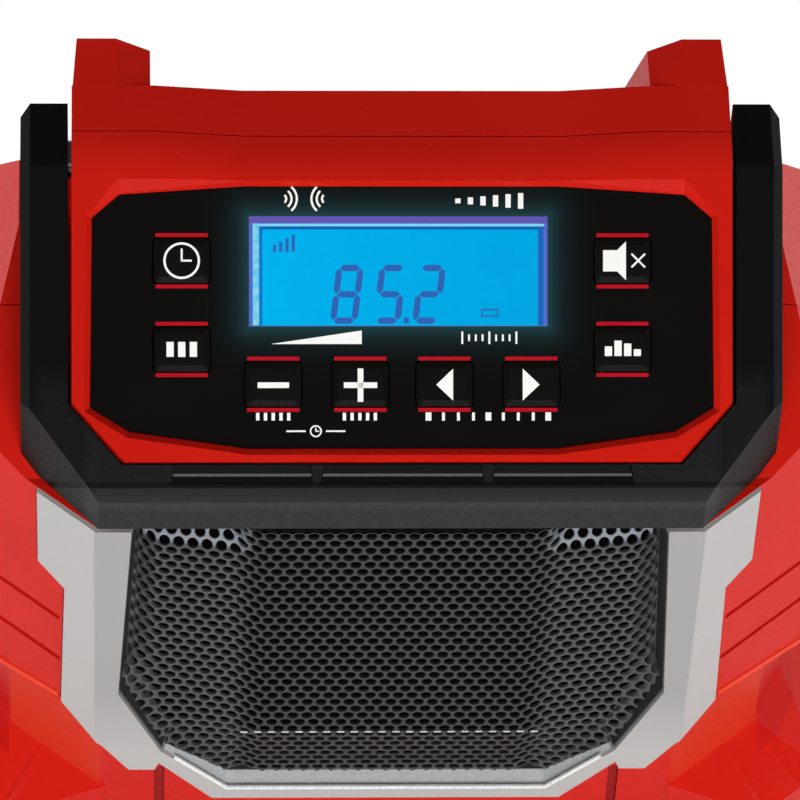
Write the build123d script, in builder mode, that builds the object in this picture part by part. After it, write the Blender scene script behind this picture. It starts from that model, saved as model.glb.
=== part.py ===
from build123d import *
import os
from math import cos, hypot, radians, sin, tan

os.makedirs("parts", exist_ok=True)

# ---------------------------------------------------------------------------
# Jobsite radio. Millimetres, +Z up, the front faces -Y, and the origin is on
# the ground at the middle of the object's box.
# ---------------------------------------------------------------------------

# Overall size and common allowances
body_width = 184.0  # across the wings
foot_width = 196.0  # across the flared foot
body_depth = 130.0
wall = 2.6  # moulded housing wall
seam_gap = 0.3  # shadow line between two mouldings
slide_gap = 0.3  # sliding clearance of keys and the pack
pin_gap = 0.06  # radial running clearance of the pivots
screw_gap = 0.05  # radial clearance of a screw in its boss
front_y = -body_depth / 2
rear_y = body_depth / 2
half = body_width / 2

# Feet and base
foot_height = 4.0
foot_radius = 9.0
foot_seat = 1.0  # depth of the socket that holds a foot
base_thick = 3.5  # plate that closes the housing from below
housing_z = foot_height
floor_z = housing_z + base_thick + seam_gap

# Plan of the housing: a flat front, swept corners, chamfered rear corners
frame_proud = 1.0  # the speaker frame stands this far out of the housing
shell_front = front_y + frame_proud
flat_half = 63.0
front_sweep = 40.0
rear_corner = 16.0

# Waist below the ridge of the wings, and the flared foot under it
ridge_z = 46.0
waist_z = 24.0
waist_in = 1.5  # the waist starts this much further in than the wings
waist_turn = 82.0  # the waist leaves the line of the wings here
waist_half = 88.5
waist_side_y = -32.0
flare_z = 12.0
foot_start = 66.0
foot_front_half = 87.5
foot_side_y = -49.8
chin_half = 48.6
chin_groove = 2.2
chin_groove_depth = 1.4
chin_groove_top = 32.0

# Sloping control panel
panel_slope = 36.0
panel_set_back = 8.5  # its lower edge behind the front of the object
panel_foot_z = 139.0
bezel_rise = 1.2
fascia_depth = 0.5  # the fascia lies this far below the panel plane
fascia_thick = 2.0
recess_floor = 2.2

# Console: the raised block that carries the panel and the top strip
console_half = 68.3
console_nose_half = 57.5
console_nose = 9.9  # depth of its swept front corners
lip_up = -1.4
lip_height = 1.4
throat = 7.6  # the lip overhangs the throat by this much
strip_up = 62.0
strip_slope = 3.0
strip_dip = 1.8
dip_half = 33.0
dip_ramp = 18.0
roll_radius = 17.0
console_back = 75.0  # from the front of the object to the battery bay

# Horns beside the battery bay
bay_half = 52.0
horn_half = 66.6
horn_tip_in = 1.4
horn_reach = 12.0
horn_crease = 59.0
horn_drop = 4.9
cheek_knee_drop = 66.0
cheek_knee_in = 5.0

# Folding handle
handle_gap = 0.8
arm_width = 9.8
arm_thick = 16.4
bar_height = 9.5
bar_top_up = -6.9
bar_bottom_z = 124.0
bar_corner_x = 16.0
bar_corner_y = 17.4
bar_inner_gap = 0.7
arm_bend_up = 59.4
pivot_back = 63.5  # pivot axis behind the front of the object
pivot_drop = 8.3  # pivot axis below the top face of the arms
arm_reach = 8.0  # arm end beyond the pivot axis
arm_chamfer = 2.0
pin_radius = 4.0
pin_boss_radius = 7.0
cap_radius = 6.0
cap_depth = 3.6

# Ledge on which the arms lie, and the wings below it
swing_gap = 1.1
shelf_gap = 1.1
shelf_back = 1.6
side_lean = 0.40
seam_ahead = 13.6  # seam between the housings, ahead of the ledge
rear_fall = 1.5
rear_top_drop = 11.0

# Speaker frame and grille, drawn on the front face
window_top_half = 56.0
window_side_half = 58.7
window_side_z = 62.0
window_low_half = 49.5
window_low_z = 39.5
window_foot_half = 35.0
window_foot_z = 25.4
window_top_z = 121.3
frame_top_z = 121.7
frame_shoulder_half = 75.8
frame_notch_z = 97.5
frame_waist_half = 70.2
frame_waist_z = 93.8
frame_hip_half = 71.2
frame_hip_z = 49.5
frame_diag_half = 62.6
frame_diag_z = 42.0
frame_tab_half = 56.5
frame_tab_end = 50.6
frame_tab_z = 32.0
strip_end_half = 49.8
strip_end_z = 34.5
strip_low_half = 38.2
strip_low_z = 20.5
frame_seat = 1.5
frame_fit = 0.15
skirt_thick = 1.2
skirt_draft = 1.7
skirt_back = 8.5
grille_set = 0.4
grille_sheet = 0.8
cloth_thick = 0.4
grille_fit = 0.4
mesh_pitch = 9.2  # grid of openings in the grille
mesh_open = 7.0
mesh_across = 12
mesh_rows = 10
mesh_rim = 3.0
plateau_half = 28.0
fold_half = 34.0
fold_in = 2.0
zone_half = 50.5
zone_in = 4.0
grille_depth = 12.0
grille_sill = 4.7
bend_z = 46.5
top_bevel_z = 115.8

# Speaker
speaker_z = 76.0
speaker_radius = 40.0
speaker_hole = 35.0
cone_radius = 29.0
cone_neck = 9.0
magnet_radius = 24.0
gasket_thick = 1.0
flange_thick = 2.0
basket_depth = 18.0
magnet_depth = 13.0
baffle = 3.0

# Keys
key_width = 11.6
key_height = 9.2
key_bevel = 1.3
key_fit = 0.3
key_travel = 0.8
key_rise = 0.6
key_flange = 0.7
flange_height = 0.7
key_outer = 45.6
key_middle = 26.7
key_inner = 8.7
key_top_row = 39.8
key_side_row = 21.5
key_low_row = 14.3
window_half = 30.9
display_across = -0.8
display_low = 26.3
display_high = 49.0
display_step = 1.7
display_fit = 0.15
board_thick = 1.6
mat_thick = 0.6
board_drop = 1.2  # control board below the recess floor

# Battery pack and its rails
pack_half = 38.0
pack_depth = 46.0
pack_length = 98.0
pack_chamfer = 6.0
bay_floor = 3.0
rail_neck = 18.0
rail_head = 24.0
rail_step = 3.5
rail_length = 66.0
rail_start = 26.0
latch_half = 14.0
latch_height = 12.0
latch_travel = 3.0
latch_depth = 8.0
latch_rise = 1.2
pack_cap = 9.0

# Screws, grooves, socket and aerial
screw_x = half - 21.0
screw_rows = (34.0, 58.0, 106.0)
screw_depth = 14.0
groove_rows = (79.5, 64.0)
groove_width = 1.6
groove_depth = 1.0
socket_y = 10.0
socket_z = 90.0
flap_length = 24.0
flap_height = 16.0
flap_thick = 1.6
rod_radius = 5.0
rod_half = 50.0
rod_y = -14.0
rod_z = 138.0

# ---------------------------------------------------------------------------
# Places worked out from the dimensions above
# ---------------------------------------------------------------------------
slope = radians(panel_slope)
panel_foot_y = front_y + panel_set_back
panel = Plane(
    origin=(0, panel_foot_y, panel_foot_z),
    x_dir=(1, 0, 0),
    z_dir=(0, -sin(slope), cos(slope)),
)


def on_panel(up, rise):
    """Depth and height of a point up the panel plane, raised from it."""
    return (
        panel_foot_y + up * cos(slope) - rise * sin(slope),
        panel_foot_z + up * sin(slope) + rise * cos(slope),
    )


def panel_y_at(height, rise):
    """Depth at which a plane parallel to the panel reaches a height."""
    up = (height - panel_foot_z - rise * cos(slope)) / sin(slope)
    return on_panel(up, rise)[0]


console_back_y = front_y + console_back
strip_rise = tan(radians(strip_slope))
strip_y, strip_z = on_panel(strip_up, bezel_rise)
console_top_z = strip_z + (console_back_y - strip_y) * strip_rise
horn_tip_y = console_back_y + horn_reach
horn_tip_z = strip_z + (horn_tip_y - strip_y) * strip_rise

pivot_y = front_y + pivot_back
arm_bend_y, arm_bend_z = on_panel(arm_bend_up, bezel_rise)
arm_end_y = pivot_y + arm_reach
arm_end_z = arm_bend_z + (arm_end_y - arm_bend_y) * strip_rise
pivot_z = arm_bend_z + (pivot_y - arm_bend_y) * strip_rise - pivot_drop
arm_swing = hypot(arm_reach, arm_end_z - pivot_z)
arm_inner = console_half + handle_gap
arm_outer = arm_inner + arm_width
arm_low = bezel_rise - arm_thick

ledge_z = pivot_z - arm_swing - swing_gap
ledge_half = arm_outer + 0.5
ledge_low = arm_low - handle_gap
shelf_z = bar_bottom_z - shelf_gap
shoulder_z = ledge_z - (half - ledge_half) / side_lean
ledge_back_y = pivot_y + arm_reach + 2.0
knee_y = rear_y - cheek_knee_in
knee_z = ledge_z - (knee_y - ledge_back_y) * rear_fall
sweep = tan(radians(front_sweep))
corner_y = shell_front + (half - flat_half) * sweep
foot_half = foot_width / 2

seam_y = panel_y_at(ledge_z, ledge_low) - seam_ahead
seam_top_y = pivot_y - seam_gap / 2
seam_step_z = ledge_z + 2.0

bay_floor_z = floor_z + bay_floor
baffle_y = front_y + grille_depth + 0.3
baffle_back_y = baffle_y + baffle

# ---------------------------------------------------------------------------
# Shared outlines and forms
# ---------------------------------------------------------------------------


def fill_outline(points, inset=0.0):
    """Fill a closed outline in the open sketch, moved inwards by inset."""
    with BuildLine() as edge:
        Polyline(*points, close=True)
    make_face(edge.edges())
    if inset:
        offset(amount=-inset, kind=Kind.INTERSECTION, mode=Mode.REPLACE)


def both_sides(points):
    """Right half of an outline, then its mirror image back to the start."""
    return points + [(-x, z) for x, z in reversed(points)]


wing_plan = both_sides(
    [
        (flat_half, shell_front),
        (half, corner_y),
        (half, rear_y - rear_corner),
        (half - rear_corner, rear_y),
    ]
)
waist_plan = both_sides(
    [
        (flat_half - waist_in, shell_front),
        (waist_turn, shell_front + (waist_turn - flat_half + waist_in) * sweep),
        (waist_half, waist_side_y),
        (waist_half, rear_y - rear_corner),
        (half - rear_corner, rear_y),
    ]
)
foot_plan = both_sides(
    [
        (foot_start, shell_front),
        (foot_front_half, shell_front),
        (foot_half, foot_side_y),
        (foot_half, rear_y - rear_corner),
        (foot_half - rear_corner, rear_y),
    ]
)
wing_side = [
    (shell_front, 0),
    (shell_front, shelf_z),
    (panel_y_at(shelf_z, ledge_low), shelf_z),
    (panel_y_at(ledge_z, ledge_low), ledge_z),
    (ledge_back_y, ledge_z),
    (knee_y, knee_z),
    (rear_y, knee_z - rear_top_drop),
    (rear_y, 0),
]
wing_front = both_sides(
    [
        (half, 0),
        (half, shoulder_z),
        (half - side_lean * (200 - shoulder_z), 200),
    ]
)


def housing_form(inset):
    """Closed form of wings, waist and flared foot, moved inwards by inset."""
    with BuildPart() as form:
        with BuildSketch(Plane.XY.offset(ridge_z + inset)):
            fill_outline(wing_plan, inset)
        extrude(amount=ledge_z)
        with BuildSketch(Plane.YZ):
            fill_outline(wing_side, inset)
        extrude(amount=body_width, both=True, mode=Mode.INTERSECT)
        with BuildSketch(Plane.XZ):
            fill_outline(wing_front, inset)
        extrude(amount=body_depth, both=True, mode=Mode.INTERSECT)
        with BuildSketch(Plane.XY.offset(waist_z)):
            fill_outline(waist_plan, inset)
        extrude(amount=ridge_z + inset - waist_z)
        with BuildSketch(Plane.XY.offset(waist_z)):
            fill_outline(waist_plan, inset)
        with BuildSketch(Plane.XY.offset(flare_z)):
            fill_outline(foot_plan, inset)
        loft(ruled=True)
        # an inner form runs out through the open bottom
        foot_low = housing_z - (1 if inset > 0 else 0)
        with BuildSketch(Plane.XY.offset(foot_low)):
            fill_outline(foot_plan, inset)
        extrude(amount=flare_z - foot_low)
    return form.part


def wing_prism(inset):
    """Prism of the wings' plan, moved inwards by inset."""
    with BuildPart() as form:
        with BuildSketch():
            fill_outline(wing_plan, inset)
        extrude(amount=2 * ledge_z)
    return form.part


def console_profile(dip):
    """Side profile of the console, its top strip lowered by dip."""
    lip = on_panel(lip_up, bezel_rise)
    drop_up = strip_up - dip / sin(slope)
    corner = on_panel(drop_up, bezel_rise)
    back_z = corner[1] + (console_back_y - corner[0]) * strip_rise
    low = shelf_z - 6
    fill_outline(
        [
            (lip[0] + throat, low),
            (lip[0] + throat, shelf_z),
            (lip[0], lip[1] - lip_height),
            lip,
            corner,
            (console_back_y, back_z),
            (console_back_y, low),
        ]
    )
    return corner


def console_form():
    """Console lofted across the body, so that its top dips in the middle."""
    stations = [
        (-console_half, 0),
        (-dip_half - dip_ramp, 0),
        (-dip_half, strip_dip),
        (dip_half, strip_dip),
        (dip_half + dip_ramp, 0),
        (console_half, 0),
    ]
    with BuildPart() as form:
        for across, dip in stations:
            with BuildSketch(Plane.YZ.offset(across)) as station:
                corner = console_profile(dip)
                fillet(station.vertices().sort_by_distance((*corner, 0))[0], roll_radius)
        loft(ruled=True)
        with BuildSketch(Plane.XY):
            fill_outline(console_plan)
        extrude(amount=2 * ledge_z, mode=Mode.INTERSECT)
    return form.part


lip_y = on_panel(lip_up, bezel_rise)[0]
console_plan = both_sides(
    [
        (console_nose_half, lip_y),
        (console_half, lip_y + console_nose),
        (console_half, console_back_y),
    ]
)


def console_core():
    """Hollow of the console below the recess floor and the top strip."""
    floor = -(fascia_depth + fascia_thick + recess_floor)
    inner_front = lip_y + throat + wall
    inner_top = strip_z - strip_dip - wall
    with BuildPart() as form:
        with BuildSketch(Plane.YZ):
            fill_outline(
                [
                    (inner_front, shelf_z - 12),
                    (inner_front, shelf_z + 2),
                    on_panel(0.5, floor),
                    (panel_y_at(inner_top, floor), inner_top),
                    (console_back_y - wall, inner_top),
                    (console_back_y - wall, shelf_z - 12),
                ]
            )
        extrude(amount=console_half - wall, both=True)
        with BuildSketch(Plane.XY):
            fill_outline(console_plan, wall)
        extrude(amount=2 * ledge_z, mode=Mode.INTERSECT)
    return form.part


def cheek_form():
    """The two cheeks of the battery bay, drawn out into horns at the top."""
    outline = [
        (console_back_y - 8, housing_z + 4),
        (console_back_y - 8, horn_tip_z - 8),
        (console_back_y - 0.5, console_top_z),
        (horn_tip_y, horn_tip_z),
        (knee_y, horn_tip_z - cheek_knee_drop),
        (rear_y, horn_tip_z - cheek_knee_drop - rear_top_drop),
        (rear_y, ridge_z),
        (console_back_y, ridge_z),
    ]
    with BuildPart() as form:
        with BuildSketch(Plane.YZ):
            fill_outline(outline)
        extrude(amount=horn_half, both=True)
        # seen from behind: flat top, sloping inner facet, open bay between
        crest = [
            (bay_half, 0),
            (horn_half, 0),
            (horn_half, horn_tip_z + 1),
            (horn_crease, horn_tip_z + 1),
            (horn_crease, horn_tip_z - 0.2),
            (bay_half, horn_tip_z - horn_drop),
        ]
        with BuildSketch(Plane.XZ):
            fill_outline(crest)
            fill_outline([(-x, z) for x, z in crest])
        extrude(amount=body_depth, both=True, mode=Mode.INTERSECT)
        # the tips draw in towards the back
        with BuildSketch(Plane.XY):
            fill_outline(
                both_sides(
                    [
                        (horn_half, console_back_y - 20),
                        (horn_half, console_back_y),
                        (horn_half - horn_tip_in, horn_tip_y),
                        (horn_half - horn_tip_in, rear_y + 1),
                    ]
                )
            )
        extrude(amount=2 * ledge_z, mode=Mode.INTERSECT)
    return form.part


def mirrored_pair(part):
    """A part on the right and its mirror image on the left."""
    return [part, part.mirror(Plane.YZ)]


window_outline = both_sides(
    [
        (window_foot_half, window_foot_z),
        (window_low_half, window_low_z),
        (window_side_half, window_side_z),
        (window_top_half, window_top_z),
        (window_top_half, window_top_z + 8),
    ]
)
frame_outline = both_sides(
    [
        (strip_low_half, strip_low_z),
        (strip_end_half, strip_end_z),
        (frame_tab_end, frame_tab_z),
        (frame_tab_half, frame_tab_z),
        (frame_diag_half, frame_diag_z),
        (frame_hip_half, frame_hip_z),
        (frame_waist_half, frame_waist_z),
        (frame_shoulder_half, frame_notch_z),
        (frame_shoulder_half, frame_top_z),
    ]
)


def front_prism(points, near, far, inset=0.0, top=2 * ledge_z):
    """Prism of an outline seen from the front, between two depths."""
    with BuildPart() as prism:
        with BuildSketch(Plane.XZ.offset(-near)):
            fill_outline(points, inset)
            Rectangle(
                2 * body_width,
                top,
                align=(Align.CENTER, Align.MIN),
                mode=Mode.INTERSECT,
            )
        extrude(amount=near - far)
    return prism.part


def x_bar(radius, start, end, y, z):
    """Round bar along X."""
    with BuildPart() as bar:
        with BuildSketch(Plane.YZ.offset(start)):
            with Locations((y, z)):
                Circle(radius)
        extrude(amount=end - start)
    return bar.part


def y_bars(radius, start, end, places):
    """Round bars along Y at the given places in the front view."""
    with BuildPart() as bars:
        with BuildSketch(Plane.XZ.offset(-start)):
            with Locations(*places):
                Circle(radius)
        extrude(amount=start - end)
    return bars.part


def screws(plane, places, shaft, length, head, head_height):
    """Pan-head screws: shafts along the plane's normal, heads behind it."""
    with BuildPart() as group:
        with BuildSketch(plane):
            with Locations(*places):
                Circle(shaft)
        extrude(amount=length)
        with BuildSketch(plane):
            with Locations(*places):
                Circle(head)
        extrude(amount=-head_height)
        with BuildSketch(plane.offset(-head_height)):
            with Locations(*places):
                Rectangle(head * 1.3, head * 0.28)
                Rectangle(head * 0.28, head * 1.3)
        extrude(amount=head_height * 0.5, mode=Mode.SUBTRACT)
    return group.part


outer_body = housing_form(0)
inner_body = housing_form(wall)
console = console_form()
core = console_core()
cheeks = cheek_form()
pivot_boss = x_bar(pin_boss_radius, console_half - 12, console_half - 0.5, pivot_y, pivot_z)
pivot_bore = x_bar(pin_radius + screw_gap, console_half - 13, console_half + 1, pivot_y, pivot_z)

with BuildPart() as shell:
    add(outer_body)
    add(console)
    add(cheeks)

with BuildPart() as hollow:
    add(inner_body)
    add(core)
    with BuildSketch(Plane.XY.offset(floor_z)):
        with Locations((0, console_back_y - wall)):
            Rectangle(
                2 * (bay_half + wall),
                body_depth,
                align=(Align.CENTER, Align.MIN),
            )
    extrude(amount=2 * ledge_z, mode=Mode.SUBTRACT)
    for boss in mirrored_pair(pivot_boss):
        add(boss, mode=Mode.SUBTRACT)

seam_outline = [
    (front_y - 10, 0),
    (seam_y, 0),
    (seam_y, seam_step_z),
    (seam_top_y, seam_step_z),
    (seam_top_y, 2 * ledge_z),
    (front_y - 10, 2 * ledge_z),
]

# ---------------------------------------------------------------------------
# Front housing: console with the panel recess, and the speaker baffle
# ---------------------------------------------------------------------------
fascia_outline = both_sides(
    [
        (32.0, 1.1),
        (56.4, 4.6),
        (64.4, 9.5),
        (64.0, 48.6),
        (58.4, 53.3),
        (33.0, 55.0),
    ]
)
board_window = both_sides([(40.0, 4.5), (56.5, 8.0), (58.0, 46.0), (50.0, 51.0)])
skirt_out = skirt_thick + seam_gap
pocket = front_prism(window_outline, front_y - 1, baffle_y, -skirt_out, window_top_z)
baffle_block = front_prism(
    window_outline, shell_front + 2, baffle_back_y, -skirt_out - wall, window_top_z + 0.6
)
frame_prism = front_prism(frame_outline, front_y - 1, front_y + 40)
seat_form = wing_prism(frame_seat)
groove_floor = housing_form(groove_depth)

with BuildPart() as frame_recess:
    add(frame_prism)
    add(seat_form, mode=Mode.SUBTRACT)

# horizontal grooves across the swept front wings
with BuildPart() as grooves:
    for row in groove_rows:
        with BuildSketch(Plane.XY.offset(row - groove_width / 2)):
            with Locations((0, front_y)):
                Rectangle(body_width + 4, 2 * (corner_y - front_y - 0.5))
                Rectangle(2 * frame_hip_half, body_depth, mode=Mode.SUBTRACT)
        extrude(amount=groove_width)
    add(groove_floor, mode=Mode.SUBTRACT)

# upright grooves beside the chin
with BuildPart() as chin_grooves:
    with BuildSketch(Plane.XZ.offset(-shell_front - chin_groove_depth)):
        with Locations(*[(side * (chin_half + chin_groove / 2), 0) for side in (-1, 1)]):
            Rectangle(chin_groove, chin_groove_top, align=(Align.CENTER, Align.MIN))
    extrude(amount=2 * chin_groove_depth)

# the shelf stands back above the grille pocket
with BuildPart() as shelf_step:
    with BuildSketch(Plane.XY.offset(window_top_z - 0.2)):
        with Locations((0, front_y)):
            Rectangle(2 * (window_top_half + skirt_out), 2 * (frame_proud + shelf_back))
    extrude(amount=shelf_z - window_top_z + 1)

# posts and bores for the long screws that join the two housings
screw_places = [(side * screw_x, row) for side in (-1, 1) for row in screw_rows]
front_posts = y_bars(5.0, front_y + 2, seam_y, screw_places)
front_bores = y_bars(1.5 + screw_gap, seam_y - screw_depth - 1, seam_y + 1, screw_places)
rear_posts = y_bars(5.6, seam_y + seam_gap, rear_y, screw_places)
rear_bores = y_bars(3.8, seam_y + 8, rear_y + 1, screw_places)
rear_shafts = y_bars(1.7, seam_y - 1, seam_y + 9, screw_places)

# bosses that hold the control board under the panel
board_level = -(fascia_depth + fascia_thick + recess_floor + board_drop)
board_places = [(side * 61.0, up) for side in (-1, 1) for up in (14.0, 43.0)]
with BuildPart() as board_bosses:
    with BuildSketch(panel.offset(board_level)):
        with Locations(*board_places):
            Circle(2.6)
    extrude(amount=board_drop + 0.5)
with BuildPart() as board_bores:
    with BuildSketch(panel.offset(board_level - 1)):
        with Locations(*board_places):
            Circle(1.1 + screw_gap)
    extrude(amount=4.2)

with BuildPart() as rim_bevel:
    with BuildSketch(panel.offset(bezel_rise + 0.02)):
        fill_outline(fascia_outline, -1.4)
    with BuildSketch(panel.offset(-fascia_depth)):
        fill_outline(fascia_outline, -seam_gap / 2)
    loft(ruled=True)

speaker_places = [
    (37.2 * cos(radians(turn)), speaker_z + 37.2 * sin(radians(turn)))
    for turn in (45, 135, 225, 315)
]
speaker_bores = y_bars(1.3 + screw_gap, baffle_y + 0.6, baffle_back_y + 1, speaker_places)

with BuildPart() as front_inside:
    add(baffle_block)
    add(front_posts)
    add(outer_body, mode=Mode.INTERSECT)

with BuildPart() as front_housing:
    add(shell.part)
    with BuildSketch(Plane.YZ):
        fill_outline(seam_outline)
    extrude(amount=body_width, both=True, mode=Mode.INTERSECT)
    add(hollow.part, mode=Mode.SUBTRACT)
    add(front_inside.part)
    add(board_bosses.part)
    add(frame_recess.part, mode=Mode.SUBTRACT)
    add(grooves.part, mode=Mode.SUBTRACT)
    add(chin_grooves.part, mode=Mode.SUBTRACT)
    add(shelf_step.part, mode=Mode.SUBTRACT)
    add(pocket, mode=Mode.SUBTRACT)
    # speaker opening
    add(y_bars(speaker_hole, baffle_y - 1, baffle_back_y + 1, [(0, speaker_z)]), mode=Mode.SUBTRACT)
    # recess for the fascia, with a bevelled rim, and the window behind it
    with BuildSketch(panel.offset(bezel_rise + 1)):
        fill_outline(fascia_outline, -seam_gap / 2)
    extrude(amount=-(bezel_rise + 1 + fascia_depth + fascia_thick), mode=Mode.SUBTRACT)
    add(rim_bevel.part, mode=Mode.SUBTRACT)
    with BuildSketch(panel.offset(bezel_rise + 1)):
        fill_outline(board_window)
    extrude(amount=-8, mode=Mode.SUBTRACT)
    for bore in mirrored_pair(pivot_bore):
        add(bore, mode=Mode.SUBTRACT)
    add(board_bores.part, mode=Mode.SUBTRACT)
    add(front_bores, mode=Mode.SUBTRACT)
    add(speaker_bores, mode=Mode.SUBTRACT)
front_housing.part.label = "front_housing"
export_step(front_housing.part, "parts/front_housing.step")

# ---------------------------------------------------------------------------
# Rear housing: wings, battery bay, horns, and the posts inside
# ---------------------------------------------------------------------------
board_y = console_back_y - wall - 9.8
main_places = [(side * 40.0, z) for side in (-1, 1) for z in (36.0, 104.0)]
main_bosses = y_bars(3.5, board_y + board_thick, console_back_y - wall + 0.5, main_places)
main_bores = y_bars(1.3 + screw_gap, board_y - 1, console_back_y - wall - 1, main_places)
base_places = [(side * 42.0, y) for side in (-1, 1) for y in (18.0, 42.0)]
block_places = [(0, z) for z in (46.0, 80.0)]

rear_seam = [
    (seam_y + seam_gap, 0),
    (seam_y + seam_gap, seam_step_z - seam_gap),
    (seam_top_y + seam_gap, seam_step_z - seam_gap),
    (seam_top_y + seam_gap, 2 * ledge_z),
    (body_depth, 2 * ledge_z),
    (body_depth, 0),
]

# recess in the right-hand wall for the socket, and the pad behind it
flap_reach = flap_length / 2 + slide_gap
socket_floor = half - flap_thick - 0.6
with BuildPart() as socket_pad:
    with BuildSketch(Plane.YZ.offset(socket_floor - wall)):
        with Locations((socket_y, socket_z)):
            Rectangle(flap_length + 8, flap_height + 8)
    extrude(amount=half - 0.5 - socket_floor + wall)
with BuildPart() as socket_recess:
    with BuildSketch(Plane.YZ.offset(socket_floor)):
        with Locations((socket_y, socket_z)):
            Rectangle(2 * flap_reach, flap_height + 2 * slide_gap)
    extrude(amount=10)
    with BuildSketch(Plane.YZ.offset(socket_floor - 10)):
        with Locations((socket_y, socket_z - 1)):
            Circle(4.0 + screw_gap)
    extrude(amount=11)

# saddles that carry the aerial rod
with BuildPart() as saddles:
    with BuildSketch(Plane.YZ):
        fill_outline(
            [
                (rod_y - 6, rod_z),
                (rod_y - 6, rod_z - 8),
                (console_back_y - wall + 0.5, rod_z - 14),
                (console_back_y - wall + 0.5, rod_z + 6),
                (rod_y + 8, rod_z),
            ]
        )
    extrude(amount=rod_half - 6, both=True)
    with BuildSketch(Plane.XY.offset(rod_z - 20)):
        Rectangle(2 * (rod_half - 10), body_depth)
    extrude(amount=40, mode=Mode.SUBTRACT)
    add(x_bar(rod_radius + screw_gap, -rod_half - 5, rod_half + 5, rod_y, rod_z), mode=Mode.SUBTRACT)

with BuildPart() as rear_posts_inside:
    add(rear_posts)
    add(outer_body, mode=Mode.INTERSECT)

with BuildPart() as rear_housing:
    add(shell.part)
    with BuildSketch(Plane.YZ):
        fill_outline(rear_seam)
    extrude(amount=body_width, both=True, mode=Mode.INTERSECT)
    add(hollow.part, mode=Mode.SUBTRACT)
    add(rear_posts_inside.part)
    add(main_bosses)
    add(saddles.part)
    add(socket_pad.part)
    # battery bay, open at the back and at the top
    with BuildSketch(Plane.XY.offset(bay_floor_z)):
        with Locations((0, console_back_y)):
            Rectangle(2 * bay_half, body_depth, align=(Align.CENTER, Align.MIN))
    extrude(amount=2 * ledge_z, mode=Mode.SUBTRACT)
    add(socket_recess.part, mode=Mode.SUBTRACT)
    for bore in mirrored_pair(pivot_bore):
        add(bore, mode=Mode.SUBTRACT)
    add(rear_bores, mode=Mode.SUBTRACT)
    add(rear_shafts, mode=Mode.SUBTRACT)
    add(main_bores, mode=Mode.SUBTRACT)
    add(
        y_bars(1.5 + screw_gap, console_back_y - wall - 1, console_back_y + 1, block_places),
        mode=Mode.SUBTRACT,
    )
    with BuildSketch(Plane.XY.offset(floor_z - 1)):
        with Locations(*base_places):
            Circle(1.3 + screw_gap)
    extrude(amount=bay_floor + 0.6, mode=Mode.SUBTRACT)
rear_housing.part.label = "rear_housing"
export_step(rear_housing.part, "parts/rear_housing.step")

# ---------------------------------------------------------------------------
# Base cover and feet
# ---------------------------------------------------------------------------
base_set = wall + seam_gap
foot_places = [(side * 74.0, y) for side in (-1, 1) for y in (-44.0, 46.0)]

with BuildPart() as base_cover:
    with BuildSketch(Plane.XY.offset(foot_height)):
        fill_outline(foot_plan, base_set)
    extrude(amount=base_thick)
    with BuildSketch(Plane.XY.offset(foot_height)):
        with Locations(*base_places):
            Circle(1.3 + 2 * screw_gap)
    extrude(amount=base_thick, mode=Mode.SUBTRACT)
    with BuildSketch(Plane.XY.offset(foot_height)):
        with Locations(*base_places):
            Circle(3.0)
    extrude(amount=2.0, mode=Mode.SUBTRACT)
    with BuildSketch(Plane.XY.offset(foot_height)):
        with Locations(*foot_places):
            Circle(foot_radius + 0.15)
    extrude(amount=foot_seat, mode=Mode.SUBTRACT)
base_cover.part.label = "base_cover"
export_step(base_cover.part, "parts/base_cover.step")

with BuildPart() as base_screws:
    add(
        screws(
            Plane.XY.offset(foot_height + 2.0),
            base_places,
            1.3,
            base_thick - 2.0 + seam_gap + bay_floor - 0.6,
            2.7,
            1.8,
        )
    )
base_screws.part.label = "base_screws"
export_step(base_screws.part, "parts/base_screws.step")

with BuildPart() as rubber_feet:
    with BuildSketch():
        with Locations(*foot_places):
            Circle(foot_radius)
    extrude(amount=foot_height + foot_seat)
    chamfer(rubber_feet.edges().filter_by(GeomType.CIRCLE).group_by(Axis.Z)[0], 1.0)
rubber_feet.part.label = "rubber_feet"
export_step(rubber_feet.part, "parts/rubber_feet.step")

# ---------------------------------------------------------------------------
# Speaker frame and the formed grille behind it
# ---------------------------------------------------------------------------
proud_form = wing_prism(-frame_proud)
skirt_outer = front_prism(window_outline, front_y, front_y + skirt_back, -skirt_thick, window_top_z)
skirt_far = front_y + skirt_back
with BuildPart() as skirt_inner:
    with BuildSketch(Plane.XZ.offset(-front_y + 0.02)):
        fill_outline(window_outline)
    with BuildSketch(Plane.XZ.offset(-skirt_far - 0.02)):
        fill_outline(window_outline, skirt_draft)
    loft(ruled=True)

with BuildPart() as grille_frame:
    add(front_prism(frame_outline, front_y - 1, front_y + 40, frame_fit))
    add(proud_form, mode=Mode.INTERSECT)
    add(seat_form, mode=Mode.SUBTRACT)
    add(skirt_outer)
    add(skirt_inner.part, mode=Mode.SUBTRACT)
grille_frame.part.label = "grille_frame"
export_step(grille_frame.part, "parts/grille_frame.step")

sheet_y = front_y + grille_set
grille_rear = baffle_y
grille_edge = skirt_draft + grille_fit


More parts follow.
